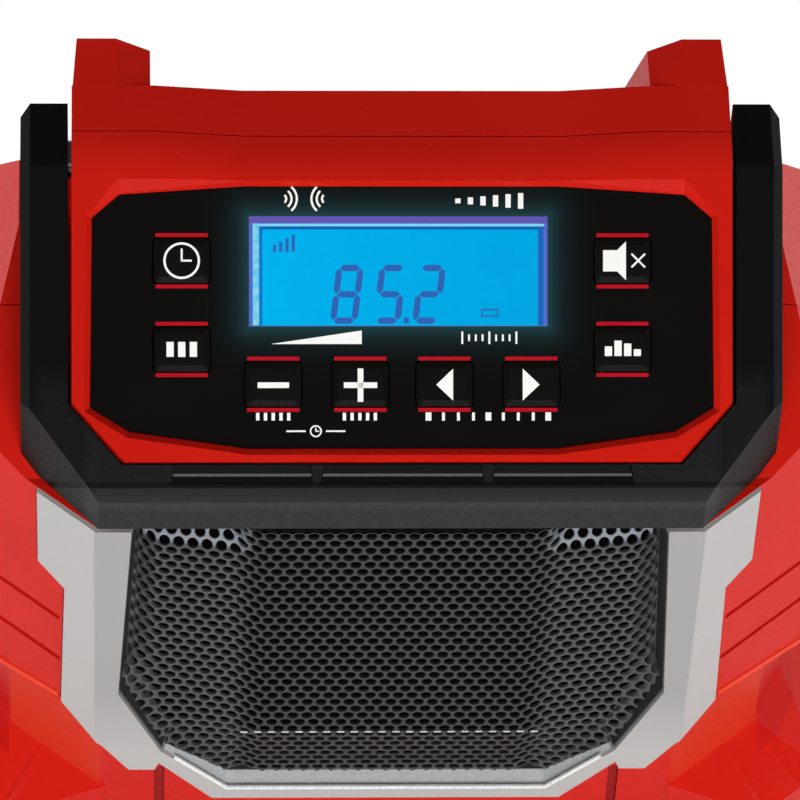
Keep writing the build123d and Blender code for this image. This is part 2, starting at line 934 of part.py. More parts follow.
def grille_form(inset):
    """Closed form of the pressed grille, moved inwards by inset."""
    side_half = window_side_half - grille_edge
    plateau = both_sides(
        [
            (plateau_half, sheet_y),
            (fold_half, sheet_y + fold_in),
            (fold_half, grille_rear + 4),
        ]
    )
    zone = both_sides(
        [
            (fold_half - 1, sheet_y + fold_in),
            (zone_half, sheet_y + zone_in),
            (zone_half + 3.6, sheet_y + zone_in + 2.4),
            (side_half, sheet_y + zone_in + 7.4),
            (side_half, grille_rear + 4),
        ]
    )
    low_side = [
        (grille_rear + 4, 0),
        (front_y + grille_sill, 0),
        (front_y + grille_sill, window_foot_z + 2),
        (sheet_y, bend_z),
        (sheet_y, 2 * bend_z),
    ]
    plateau_side = low_side + [(sheet_y, window_top_z + 20), (grille_rear + 4, window_top_z + 20)]
    zone_side = low_side + [
        (sheet_y, top_bevel_z - 4),
        (sheet_y + zone_in, top_bevel_z),
        (grille_rear, window_top_z - 0.6),
        (grille_rear + 4, window_top_z - 0.6),
    ]
    with BuildPart() as form:
        for plan, side in ((plateau, plateau_side), (zone, zone_side)):
            with BuildPart(mode=Mode.PRIVATE) as lobe:
                with BuildSketch(Plane.XY):
                    fill_outline(plan, inset)
                extrude(amount=2 * ledge_z)
                with BuildSketch(Plane.YZ):
                    fill_outline(side, inset)
                extrude(amount=body_width, both=True, mode=Mode.INTERSECT)
            add(lobe.part)
    return form.part


grille_outer = grille_form(0)
grille_inner = grille_form(grille_sheet)
grille_limit = front_prism(
    window_outline, front_y - 1, grille_rear, grille_edge, window_top_z - grille_fit
)
grille_void = front_prism(
    window_outline,
    front_y - 1,
    grille_rear + 2,
    grille_edge + grille_sheet,
    window_top_z - grille_fit - grille_sheet,
)
with BuildPart() as grille_hollow:
    add(grille_inner)
    add(grille_void, mode=Mode.INTERSECT)
mesh_mid_z = (window_foot_z + window_top_z) / 2
with BuildPart() as grille_mesh:
    with BuildSketch(Plane.XZ.offset(-front_y + 1)):
        with Locations((0, mesh_mid_z)):
            with GridLocations(mesh_pitch, mesh_pitch, mesh_across, mesh_rows):
                Rectangle(mesh_open, mesh_open)
    extrude(amount=-grille_depth)
    add(
        front_prism(
            window_outline,
            front_y - 2,
            grille_rear,
            grille_edge + mesh_rim,
            window_top_z - grille_fit - mesh_rim,
        ),
        mode=Mode.INTERSECT,
    )
with BuildPart() as speaker_grille:
    add(grille_outer)
    add(grille_limit, mode=Mode.INTERSECT)
    add(grille_hollow.part, mode=Mode.SUBTRACT)
    add(grille_mesh.part, mode=Mode.SUBTRACT)
speaker_grille.part.label = "speaker_grille"
export_step(speaker_grille.part, "parts/speaker_grille.step")

with BuildPart() as grille_cloth:
    add(
        front_prism(
            window_outline,
            baffle_y - cloth_thick,
            baffle_y,
            grille_edge + grille_sheet + 0.4,
            window_top_z - grille_fit - grille_sheet - 2.0,
        )
    )
grille_cloth.part.label = "grille_cloth"
export_step(grille_cloth.part, "parts/grille_cloth.step")

# ---------------------------------------------------------------------------
# Speaker: every round part is turned about its own axis
# ---------------------------------------------------------------------------
speaker_plane = Plane.XY.offset(speaker_z)
speaker_axis = Axis((0, 0, speaker_z), (0, 1, 0))
flange_y = baffle_back_y + gasket_thick
flange_back = flange_y + flange_thick
basket_y = flange_y + basket_depth
magnet_y = basket_y + magnet_depth


def turned(points):
    """Part turned about the speaker's axis from radius and depth points."""
    with BuildPart() as part:
        with BuildSketch(speaker_plane):
            fill_outline(points)
        revolve(axis=speaker_axis)
    return part.part


with BuildPart() as speaker_gasket:
    add(
        turned(
            [
                (speaker_hole, baffle_back_y),
                (speaker_radius, baffle_back_y),
                (speaker_radius, flange_y),
                (speaker_hole, flange_y),
            ]
        )
    )
    add(y_bars(1.4, baffle_back_y - 1, flange_y + 1, speaker_places), mode=Mode.SUBTRACT)
speaker_gasket.part.label = "speaker_gasket"
export_step(speaker_gasket.part, "parts/speaker_gasket.step")

basket_wall = 1.4
basket_points = [
    (cone_radius + 3, flange_y),
    (speaker_radius, flange_y),
    (speaker_radius, flange_back),
    (cone_radius + 5, flange_back),
    (magnet_radius, basket_y - basket_wall),
    (magnet_radius, basket_y),
    (cone_neck + 2, basket_y),
    (cone_neck + 2, basket_y - basket_wall),
    (magnet_radius - 3, basket_y - basket_wall),
    (cone_radius + 3, flange_back),
]
basket_body = turned(basket_points)
with BuildPart() as speaker_basket:
    add(basket_body)
    with BuildSketch(Plane(origin=(0, flange_back + 1.5, speaker_z), x_dir=(1, 0, 0), z_dir=(0, -1, 0))):
        with PolarLocations(cone_radius + 4, 6, start_angle=0):
            Rectangle(24, 17)
    extrude(amount=-(basket_depth - flange_thick - basket_wall - 3), mode=Mode.SUBTRACT)
    add(y_bars(1.4, flange_y - 1, flange_back + 1, speaker_places), mode=Mode.SUBTRACT)
speaker_basket.part.label = "speaker_basket"
export_step(speaker_basket.part, "parts/speaker_basket.step")

with BuildPart() as speaker_surround:
    add(
        turned(
            [
                (cone_radius - 1.5, flange_y - 0.8),
                (cone_radius, flange_y - 0.8),
                (cone_radius + 0.6, flange_y - 2.2),
                (cone_radius + 2.2, flange_y - 3.0),
                (cone_radius + 3.8, flange_y - 2.2),
                (cone_radius + 4.4, flange_y - 0.6),
                (speaker_hole - 0.2, flange_y - 0.6),
                (speaker_hole - 0.2, flange_y),
                (cone_radius + 3.9, flange_y),
                (cone_radius + 3.3, flange_y - 1.8),
                (cone_radius + 2.2, flange_y - 2.4),
                (cone_radius + 1.1, flange_y - 1.8),
                (cone_radius + 0.4, flange_y - 0.2),
                (cone_radius - 1.5, flange_y - 0.2),
            ]
        )
    )
speaker_surround.part.label = "speaker_surround"
export_step(speaker_surround.part, "parts/speaker_surround.step")

cone_y = flange_y - 0.2
cone_foot_y = flange_y + 9.0
with BuildPart() as speaker_cone:
    add(
        turned(
            [
                (cone_radius - 1.5, cone_y),
                (cone_radius, cone_y),
                (cone_radius, cone_y + 0.7),
                (cone_radius - 1.0, cone_y + 0.7),
                (cone_neck + 0.8, cone_foot_y),
                (cone_neck + 0.8, cone_foot_y + 5),
                (cone_neck, cone_foot_y + 5),
                (cone_neck, cone_foot_y - 0.4),
            ]
        )
    )
speaker_cone.part.label = "speaker_cone"
export_step(speaker_cone.part, "parts/speaker_cone.step")

with BuildPart() as dust_cap:
    add(
        turned(
            [
                (0, cone_foot_y - 4.8),
                (5.0, cone_foot_y - 3.6),
                (cone_neck - 0.1, cone_foot_y + 0.2),
                (cone_neck - 0.1, cone_foot_y + 1.4),
                (cone_neck - 1.0, cone_foot_y + 1.4),
                (4.6, cone_foot_y - 2.8),
                (0, cone_foot_y - 4.0),
            ]
        )
    )
dust_cap.part.label = "dust_cap"
export_step(dust_cap.part, "parts/dust_cap.step")

with BuildPart() as speaker_magnet:
    add(
        turned(
            [
                (0, basket_y - 3),
                (cone_neck - 0.6, basket_y - 3),
                (cone_neck - 0.6, basket_y + 7),
                (cone_neck + 2, basket_y + 7),
                (cone_neck + 2, basket_y),
                (magnet_radius - 3, basket_y),
                (magnet_radius - 3, basket_y + 2),
                (magnet_radius, basket_y + 2),
                (magnet_radius, magnet_y - 2.5),
                (magnet_radius - 3, magnet_y - 2.5),
                (magnet_radius - 3, magnet_y),
                (0, magnet_y),
            ]
        )
    )
speaker_magnet.part.label = "speaker_magnet"
export_step(speaker_magnet.part, "parts/speaker_magnet.step")

with BuildPart() as speaker_screws:
    add(
        screws(
            Plane(origin=(0, flange_back, 0), x_dir=(1, 0, 0), z_dir=(0, -1, 0)),
            speaker_places,
            1.3,
            flange_thick + gasket_thick + baffle - 1,
            2.4,
            1.6,
        )
    )
speaker_screws.part.label = "speaker_screws"
export_step(speaker_screws.part, "parts/speaker_screws.step")

# ---------------------------------------------------------------------------
# Control panel: fascia, window, display, keys, mat and board
# ---------------------------------------------------------------------------
key_places = {
    "button_clock": (-key_outer, key_top_row),
    "button_preset": (-key_outer, key_side_row),
    "button_volume_down": (-key_middle, key_low_row),
    "button_volume_up": (-key_inner, key_low_row),
    "button_seek_down": (key_inner, key_low_row),
    "button_seek_up": (key_middle, key_low_row),
    "button_mode": (key_outer, key_side_row),
    "button_mute": (key_outer, key_top_row),
}
fascia_back = -(fascia_depth + fascia_thick)
display_mid = (display_low + display_high) / 2
display_span = display_high - display_low

with BuildPart() as control_panel:
    with BuildSketch(panel.offset(fascia_back)):
        fill_outline(fascia_outline)
        with Locations(*key_places.values()):
            RectangleRounded(key_width + 2 * key_fit, key_height + 2 * key_fit, 1.2, mode=Mode.SUBTRACT)
        with Locations((display_across, display_mid)):
            Rectangle(2 * window_half, display_span, mode=Mode.SUBTRACT)
    extrude(amount=fascia_thick)
    with BuildSketch(panel.offset(fascia_back)):
        with Locations((display_across, display_mid)):
            Rectangle(2 * (window_half + display_step), display_span + 2 * display_step)
    extrude(amount=fascia_thick / 2, mode=Mode.SUBTRACT)
control_panel.part.label = "control_panel"
export_step(control_panel.part, "parts/control_panel.step")

with BuildPart() as display_window:
    with BuildSketch(panel.offset(fascia_back)):
        with Locations((display_across, display_mid)):
            Rectangle(
                2 * (window_half + display_step - display_fit),
                display_span + 2 * (display_step - display_fit),
            )
    extrude(amount=fascia_thick / 2)
    with BuildSketch(panel.offset(fascia_back + fascia_thick / 2)):
        with Locations((display_across, display_mid)):
            Rectangle(2 * (window_half - display_fit), display_span - 2 * display_fit)
    extrude(amount=fascia_thick / 2 - 0.2)
display_window.part.label = "display_window"
export_step(display_window.part, "parts/display_window.step")

with BuildPart() as display_module:
    with BuildSketch(panel.offset(board_level)):
        with Locations((display_across, display_mid)):
            Rectangle(2 * (window_half + 3), display_span + 3.6)
    extrude(amount=fascia_back - board_level)
display_module.part.label = "display_module"
export_step(display_module.part, "parts/display_module.step")

flange_top = fascia_back - slide_gap
flange_low = flange_top - flange_height
for name, place in key_places.items():
    with BuildPart() as key:
        with BuildSketch(panel.offset(flange_low)):
            with Locations(place):
                Rectangle(key_width + 2 * key_flange, key_height + 2 * key_flange)
        extrude(amount=flange_height)
        with BuildSketch(panel.offset(flange_top)):
            with Locations(place):
                RectangleRounded(key_width, key_height, 0.9)
        extrude(amount=-fascia_depth + 0.2 - flange_top)
        with BuildSketch(panel.offset(-fascia_depth + 0.2)):
            with Locations(place):
                RectangleRounded(key_width, key_height, 0.9)
        with BuildSketch(panel.offset(key_rise)):
            with Locations(place):
                RectangleRounded(key_width - 2 * key_bevel, key_height - 2 * key_bevel, 0.6)
        loft(ruled=True)
    key.part.label = name
    export_step(key.part, "parts/" + name + ".step")

dome_top = flange_low - key_travel - 0.15
mat_top = board_level + mat_thick
with BuildPart() as keypad_mat:
    with BuildSketch(panel.offset(board_level)):
        with Locations((0, 26.5)):
            Rectangle(108, 40)
        with Locations((display_across, display_mid + 10)):
            Rectangle(2 * (window_half + 3.6), display_span + 24.8, mode=Mode.SUBTRACT)
    extrude(amount=mat_thick)
    if dome_top > mat_top:
        with BuildSketch(panel.offset(mat_top)):
            with Locations(*key_places.values()):
                Circle(3.0)
        extrude(amount=dome_top - mat_top)
keypad_mat.part.label = "keypad_mat"
export_step(keypad_mat.part, "parts/keypad_mat.step")

with BuildPart() as control_board:
    with BuildSketch(panel.offset(board_level - board_thick)):
        with Locations((0, 28.0)):
            Rectangle(129, 43)
        with Locations(*board_places):
            Circle(1.2 + screw_gap, mode=Mode.SUBTRACT)
    extrude(amount=board_thick)
control_board.part.label = "control_board"
export_step(control_board.part, "parts/control_board.step")

with BuildPart() as control_board_screws:
    add(screws(panel.offset(board_level - board_thick), board_places, 1.1, 4.4, 2.2, 1.4))
control_board_screws.part.label = "control_board_screws"
export_step(control_board_screws.part, "parts/control_board_screws.step")

# ---------------------------------------------------------------------------
# Folding handle, its grip pads, pivots and caps
# ---------------------------------------------------------------------------
handle_plan = both_sides(
    [
        (arm_outer - bar_corner_x, front_y),
        (arm_outer, front_y + bar_corner_y),
        (arm_outer, arm_end_y),
    ]
)
arm_low_front = panel_y_at(bar_bottom_z, arm_low)
arm_low_rear = panel_y_at(pivot_z - pivot_drop, arm_low)
handle_side = [
    (front_y, bar_bottom_z),
    (front_y, bar_bottom_z + bar_height),
    on_panel(bar_top_up, bezel_rise),
    (arm_bend_y, arm_bend_z),
    (arm_end_y, arm_end_z),
    (arm_end_y, pivot_z - pivot_drop),
    (arm_low_rear, pivot_z - pivot_drop),
    (arm_low_front, bar_bottom_z),
]
console_space = both_sides(
    [
        (console_nose_half + 0.5 * handle_gap, lip_y - handle_gap),
        (console_half + handle_gap, lip_y + console_nose - 0.5 * handle_gap),
        (console_half + handle_gap, rear_y),
    ]
)
lip_z = on_panel(lip_up, bezel_rise)[1]
space_side = [
    (lip_y + throat - bar_inner_gap, shelf_z - 2),
    (lip_y + throat - bar_inner_gap, shelf_z),
    (lip_y - bar_inner_gap, lip_z - lip_height - 0.2),
    (lip_y - bar_inner_gap, 2 * ledge_z),
    (rear_y, 2 * ledge_z),
    (rear_y, shelf_z - 2),
]
with BuildPart() as console_clearance:
    with BuildSketch(Plane.XY):
        fill_outline(console_space)
    extrude(amount=2 * ledge_z)
    with BuildSketch(Plane.YZ):
        fill_outline(space_side)
    extrude(amount=body_width, both=True, mode=Mode.INTERSECT)

pad_low = bar_top_up + 0.8
pad_depth = 1.0
pad_high = -1.0
pad_runs = [(-47.6, -18.7), (-16.7, 16.7), (18.7, 47.6)]
with BuildPart() as pad_pocket:
    with BuildSketch(panel.offset(bezel_rise - pad_depth)):
        for start, end in pad_runs:
            fill_outline(
                [
                    (start - 0.15, pad_low - 0.15),
                    (end + 0.15, pad_low - 0.15),
                    (end - 0.85, pad_high + 3),
                    (start + 1.15, pad_high + 3),
                ]
            )
    extrude(amount=pad_depth + 2)

caps_cut = mirrored_pair(x_bar(cap_radius + 0.1, arm_outer - cap_depth, arm_outer + 1, pivot_y, pivot_z))
bores_cut = mirrored_pair(x_bar(pin_radius + pin_gap, arm_inner - 1, arm_outer, pivot_y, pivot_z))

with BuildPart() as handle:
    with BuildSketch(Plane.XY):
        fill_outline(handle_plan)
    extrude(amount=2 * ledge_z)
    with BuildSketch(Plane.YZ):
        fill_outline(handle_side)
    extrude(amount=body_width, both=True, mode=Mode.INTERSECT)
    add(console_clearance.part, mode=Mode.SUBTRACT)
    outer_edges = handle.edges().filter_by(lambda edge: abs(abs((edge @ 0.5).X) - arm_outer) < 0.01)
    chamfer(outer_edges.filter_by(lambda edge: (edge @ 0.5).Z > ledge_z - 6), arm_chamfer)
    add(pad_pocket.part, mode=Mode.SUBTRACT)
    for cut in caps_cut + bores_cut:
        add(cut, mode=Mode.SUBTRACT)
handle.part.label = "handle"
export_step(handle.part, "parts/handle.step")

with BuildPart() as grip_pads:
    with BuildSketch(panel.offset(bezel_rise - pad_depth)):
        for start, end in pad_runs:
            fill_outline(
                [
                    (start, pad_low),
                    (end, pad_low),
                    (end - 1, pad_high + 2.8),
                    (start + 1, pad_high + 2.8),
                ]
            )
    extrude(amount=pad_depth)
    add(console_clearance.part, mode=Mode.SUBTRACT)
grip_pads.part.label = "grip_pads"
export_step(grip_pads.part, "parts/grip_pads.step")

pin_end = arm_outer - cap_depth - slide_gap
pin_parts = mirrored_pair(x_bar(pin_radius, console_half - 12, pin_end, pivot_y, pivot_z))
with BuildPart() as pivot_pins:
    for pin in pin_parts:
        add(pin)
pivot_pins.part.label = "pivot_pins"
export_step(pivot_pins.part, "parts/pivot_pins.step")

cap_parts = mirrored_pair(
    x_bar(cap_radius, arm_outer - cap_depth, arm_outer - 0.6, pivot_y, pivot_z)
)
with BuildPart() as pivot_caps:
    for cap in cap_parts:
        add(cap)
pivot_caps.part.label = "pivot_caps"
export_step(pivot_caps.part, "parts/pivot_caps.step")

# ---------------------------------------------------------------------------
# Electronics and aerial inside the housing
# ---------------------------------------------------------------------------
main_half = 46.0
main_low = 30.0
main_high = 110.0
with BuildPart() as main_board:
    with BuildSketch(Plane.XZ.offset(-board_y - board_thick)):
        with Locations((0, main_low)):
            Rectangle(2 * main_half, main_high - main_low, align=(Align.CENTER, Align.MIN))
        with Locations(*main_places):
            Circle(1.4, mode=Mode.SUBTRACT)
        with Locations(*block_places):
            Circle(4.0, mode=Mode.SUBTRACT)
    extrude(amount=board_thick)
main_board.part.label = "main_board"
export_step(main_board.part, "parts/main_board.step")

with BuildPart() as main_board_screws:
    add(
        screws(
            Plane(origin=(0, board_y, 0), x_dir=(1, 0, 0), z_dir=(0, 1, 0)),
            [(x, -z) for x, z in main_places],
            1.3,
            8.0,
            2.5,
            1.6,
        )
    )
main_board_screws.part.label = "main_board_screws"
export_step(main_board_screws.part, "parts/main_board_screws.step")

with BuildPart() as heat_sink:
    with BuildSketch(Plane.XY.offset(56)):
        with Locations((30, board_y)):
            Rectangle(24, 2.0, align=(Align.CENTER, Align.MAX))
        for fin in range(6):
            with Locations((18.8 + fin * 4.48, board_y - 2.0)):
                Rectangle(1.2, 7.0, align=(Align.CENTER, Align.MAX))
    extrude(amount=36)
heat_sink.part.label = "heat_sink"
export_step(heat_sink.part, "parts/heat_sink.step")

with BuildPart() as ferrite_rod:
    add(x_bar(rod_radius, -rod_half, rod_half, rod_y, rod_z))
ferrite_rod.part.label = "ferrite_rod"
export_step(ferrite_rod.part, "parts/ferrite_rod.step")

coil_outer = x_bar(rod_radius + 1.8, -18, 8, rod_y, rod_z)
coil_inner = x_bar(rod_radius, -19, 9, rod_y, rod_z)
with BuildPart() as antenna_coil:
    add(coil_outer)
    add(coil_inner, mode=Mode.SUBTRACT)
antenna_coil.part.label = "antenna_coil"
export_step(antenna_coil.part, "parts/antenna_coil.step")

# ---------------------------------------------------------------------------
# Battery bay: terminal block with its rail, contacts and the sliding pack
# ---------------------------------------------------------------------------
rail_y = console_back_y + rail_step
head_y = rail_y + rail_step
rail_z = housing_z + rail_start
contact_thick = 0.5
contact_places = (-15.0, -5.0, 5.0, 15.0)

with BuildPart() as terminal_block:
    with BuildSketch(Plane.XY.offset(rail_z)):
        with Locations((0, console_back_y)):
            Rectangle(2 * rail_neck, rail_step, align=(Align.CENTER, Align.MIN))
        with Locations((0, rail_y)):
            Rectangle(2 * rail_head, rail_step, align=(Align.CENTER, Align.MIN))
    extrude(amount=rail_length)
    add(y_bars(1.3 + screw_gap, console_back_y - 1, head_y - 1.5, block_places), mode=Mode.SUBTRACT)
terminal_block.part.label = "battery_terminal_block"
export_step(terminal_block.part, "parts/battery_terminal_block.step")

with BuildPart() as terminal_screws:
    add(
        screws(
            Plane(origin=(0, console_back_y - wall, 0), x_dir=(1, 0, 0), z_dir=(0, 1, 0)),
            [(x, -z) for x, z in block_places],
            1.3,
            wall + 5.0,
            2.7,
            1.8,
        )
    )
terminal_screws.part.label = "terminal_screws"
export_step(terminal_screws.part, "parts/terminal_screws.step")

with BuildPart() as contact_strips:
    with BuildSketch(Plane.XZ.offset(-head_y)):
        for across in contact_places:
            with Locations((across, rail_z + rail_length / 2)):
                Rectangle(3.6, rail_length - 10)
    extrude(amount=-contact_thick)
contact_strips.part.label = "contact_strips"
export_step(contact_strips.part, "parts/contact_strips.step")

pack_y = console_back_y + 1.0
pack_back = pack_y + pack_depth
pack_z = bay_floor_z + slide_gap
cap_z = pack_z + pack_length - pack_cap
slot_top = rail_z + rail_length + 1.0
latch_z = cap_z - latch_height - 3.0
pack_plan = both_sides(
    [
        (pack_half, pack_y),
        (pack_half, pack_back - pack_chamfer),
        (pack_half - pack_chamfer, pack_back),
    ]
)
with BuildPart() as battery_pack:
    with BuildSketch(Plane.XY.offset(pack_z)):
        fill_outline(pack_plan)
    extrude(amount=pack_length - pack_cap)
    with BuildSketch(Plane.XY.offset(pack_z)):
        with Locations((0, pack_y)):
            Rectangle(
                2 * (rail_neck + slide_gap),
                rail_y - slide_gap - pack_y,
                align=(Align.CENTER, Align.MIN),
            )
        with Locations((0, rail_y - slide_gap)):
            Rectangle(
                2 * (rail_head + slide_gap),
                rail_step + contact_thick + 2 * slide_gap,
                align=(Align.CENTER, Align.MIN),
            )
    extrude(amount=slot_top - pack_z, mode=Mode.SUBTRACT)
    with BuildSketch(Plane.XZ.offset(-pack_back)):
        with Locations((0, latch_z)):
            Rectangle(
                2 * (latch_half + slide_gap),
                latch_height + 2 * slide_gap,
                align=(Align.CENTER, Align.MIN),
            )
    extrude(amount=latch_depth + latch_travel + slide_gap, mode=Mode.SUBTRACT)
battery_pack.part.label = "battery_pack"
export_step(battery_pack.part, "parts/battery_pack.step")

with BuildPart() as battery_cap:
    with BuildSketch(Plane.XY.offset(cap_z)):
        fill_outline(pack_plan)
    extrude(amount=pack_cap - 2)
    with BuildSketch(Plane.XY.offset(cap_z + pack_cap - 2)):
        fill_outline(pack_plan)
    with BuildSketch(Plane.XY.offset(cap_z + pack_cap)):
        fill_outline(pack_plan, 2.0)
    loft(ruled=True)
battery_cap.part.label = "battery_cap"
export_step(battery_cap.part, "parts/battery_cap.step")

with BuildPart() as battery_latch:
    with BuildSketch(Plane.XZ.offset(-pack_back - latch_rise)):
        with Locations((0, latch_z + slide_gap)):
            Rectangle(2 * latch_half, latch_height, align=(Align.CENTER, Align.MIN))
    extrude(amount=latch_rise + latch_depth)
    for ridge in range(3):
        with BuildSketch(Plane.XZ.offset(-pack_back - latch_rise)):
            with Locations((0, latch_z + slide_gap + 3.0 + 3.0 * ridge)):
                Rectangle(2 * latch_half - 6, 1.0)
        extrude(amount=0.5, mode=Mode.SUBTRACT)
battery_latch.part.label = "battery_latch"
export_step(battery_latch.part, "parts/battery_latch.step")

# ---------------------------------------------------------------------------
# Auxiliary socket and its rubber flap on the right-hand side
# ---------------------------------------------------------------------------
socket_bar = x_bar(4.0, socket_floor - 12, socket_floor - 0.2, socket_y, socket_z - 1)
socket_flange = x_bar(6.0, socket_floor - wall - 3, socket_floor - wall, socket_y, socket_z - 1)
socket_hole = x_bar(1.8, socket_floor - 10, socket_floor, socket_y, socket_z - 1)
with BuildPart() as aux_socket:
    add(socket_bar)
    add(socket_flange)
    add(socket_hole, mode=Mode.SUBTRACT)
aux_socket.part.label = "aux_socket"
export_step(aux_socket.part, "parts/aux_socket.step")

flap_axis_x = half - 0.2 - flap_thick / 2
flap_axis_z = socket_z + flap_height / 2 - flap_thick / 2
with BuildPart() as aux_cover:
    with BuildSketch(Plane.XZ.offset(-socket_y - flap_length / 2)):
        with Locations((flap_axis_x, flap_axis_z)):
            Circle(flap_thick / 2)
            Rectangle(
                flap_thick,
                flap_height - flap_thick / 2,
                align=(Align.CENTER, Align.MAX),
            )
    extrude(amount=flap_length)
aux_cover.part.label = "aux_cover"
export_step(aux_cover.part, "parts/aux_cover.step")

with BuildPart() as housing_screws:
    add(
        screws(
            Plane(origin=(0, seam_y + 8, 0), x_dir=(1, 0, 0), z_dir=(0, -1, 0)),
            screw_places,
            1.5,
            screw_depth + 7,
            3.4,
            2.2,
        )
    )
housing_screws.part.label = "housing_screws"
export_step(housing_screws.part, "parts/housing_screws.step")
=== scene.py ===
import bpy
import bmesh
from math import cos, radians, sin
from mathutils import Matrix, Vector


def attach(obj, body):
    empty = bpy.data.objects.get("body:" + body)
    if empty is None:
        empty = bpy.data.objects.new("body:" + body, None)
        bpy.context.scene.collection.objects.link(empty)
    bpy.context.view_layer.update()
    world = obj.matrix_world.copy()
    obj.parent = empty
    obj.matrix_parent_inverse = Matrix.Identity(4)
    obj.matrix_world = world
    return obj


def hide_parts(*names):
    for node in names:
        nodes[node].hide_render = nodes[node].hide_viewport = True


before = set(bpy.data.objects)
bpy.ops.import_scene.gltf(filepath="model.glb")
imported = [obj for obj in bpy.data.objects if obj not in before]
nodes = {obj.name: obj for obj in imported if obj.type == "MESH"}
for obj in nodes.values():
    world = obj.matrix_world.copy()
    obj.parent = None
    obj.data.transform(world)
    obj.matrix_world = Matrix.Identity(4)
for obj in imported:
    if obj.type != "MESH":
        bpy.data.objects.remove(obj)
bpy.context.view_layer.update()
home = bpy.context.scene.collection


# ---------------------------------------------------------------------------
# Housings: two mouldings of impact-resistant red plastic, with a fine
# spark-eroded texture. The front one carries the control panel and the
# speaker; the rear one holds the battery bay between two horns.
# ---------------------------------------------------------------------------
def lin(code):
    """Linear RGBA of an sRGB hex colour."""
    parts = [int(code[i : i + 2], 16) / 255 for i in (0, 2, 4)]
    return [p / 12.92 if p <= 0.04045 else ((p + 0.055) / 1.055) ** 2.4 for p in parts] + [1.0]


def put(tree, kind, values=(), **settings):
    """Add a node, set its properties, and set or link its inputs by name or index."""
    new = tree.nodes.new(kind)
    for key, value in settings.items():
        setattr(new, key, value)
    for key, value in dict(values).items():
        socket = new.inputs[key]
        if isinstance(value, bpy.types.NodeSocket):
            tree.links.new(value, socket)
        else:
            socket.default_value = value
    return new


def blank(name):
    """Empty material with its tree and object coordinates."""
    material = bpy.data.materials.new(name)
    material.use_nodes = True
    tree = material.node_tree
    tree.nodes.clear()
    place = put(tree, "ShaderNodeTexCoord").outputs["Object"]
    return material, tree, place


def noise(tree, place, size_mm, detail=2.0, rough=0.5):
    """Noise factor whose features measure about size_mm."""
    values = {"Vector": place, "Scale": 1000 / size_mm, "Detail": detail, "Roughness": rough}
    return put(tree, "ShaderNodeTexNoise", values).outputs["Fac"]


def ramp(tree, factor, low, high, start=0.0, end=1.0):
    """Map a factor from low..high to start..end, clamped."""
    values = {"Value": factor, "From Min": low, "From Max": high, "To Min": start, "To Max": end}
    return put(tree, "ShaderNodeMapRange", values).outputs["Result"]


def blend(tree, factor, first, second):
    """Mix two colours."""
    return put(tree, "ShaderNodeMix", {0: factor, 6: first, 7: second}, data_type="RGBA").outputs[2]


def close(tree, shader):
    """Send a shader to the material output."""
    put(tree, "ShaderNodeOutputMaterial", {"Surface": shader})


def maths(tree, kind, *values):
    """Scalar maths node."""
    return put(tree, "ShaderNodeMath", dict(enumerate(values)), operation=kind).outputs[0]


def within(tree, value, low, high, soft=0.00004):
    """One between two limits and zero outside, with a soft edge."""
    rise = ramp(tree, value, low - soft, low + soft)
    fall = ramp(tree, value, high - soft, high + soft, 1.0, 0.0)
    return maths(tree, "MULTIPLY", rise, fall)


def region(tree, across=None, back=None, up=None):
    """One inside a box of the object. Each range is low, high and softness in
    millimetres; across is measured from the middle plane to both sides."""
    place = tree.nodes["Texture Coordinate"].outputs["Object"]
    parts = put(tree, "ShaderNodeSeparateXYZ", {0: place}).outputs
    mask = None
    for axis, limits in ((0, across), (1, back), (2, up)):
        if limits:
            value = maths(tree, "ABSOLUTE", parts[0]) if axis == 0 else parts[axis]
            inside = within(tree, value, *(limit / 1000 for limit in limits))
            mask = inside if mask is None else maths(tree, "MULTIPLY", mask, inside)
    return mask


def overlay(material, *zones):
    """Lay other colours over a finish: each zone is a mask and a colour."""
    tree = material.node_tree
    base = tree.nodes["Principled BSDF"].inputs["Base Color"]
    tint = base.links[0].from_socket
    for mask, colour in zones:
        tint = blend(tree, mask, tint, lin(colour))
    tree.links.new(tint, base)


def skin(tree, colour, rough, height=None, depth=0.0, **more):
    """Principled surface with an optional bump, sent to the output."""
    inputs = {"Base Color": colour, "Roughness": rough}
    if height is not None:
        bump = put(tree, "ShaderNodeBump", {"Strength": 1.0, "Distance": depth / 1000, "Height": height})
        inputs["Normal"] = bump.outputs["Normal"]
    for key, value in more.items():
        inputs[key.replace("_", " ")] = value
    close(tree, put(tree, "ShaderNodeBsdfPrincipled", inputs).outputs[0])


def sparkle(tree, place, cell, share, size):
    """Sparse bright dots: one random cell in many carries a small round fleck."""
    cells = put(tree, "ShaderNodeTexVoronoi", {"Vector": place, "Scale": 1000 / cell})
    red = put(tree, "ShaderNodeSeparateColor", {0: cells.outputs["Color"]}).outputs[0]
    chosen = ramp(tree, red, 1 - share, 1.0 - share + 0.01)
    dot = ramp(tree, cells.outputs["Distance"], size * 0.6, size, 1.0, 0.0)
    return maths(tree, "MULTIPLY", chosen, dot)


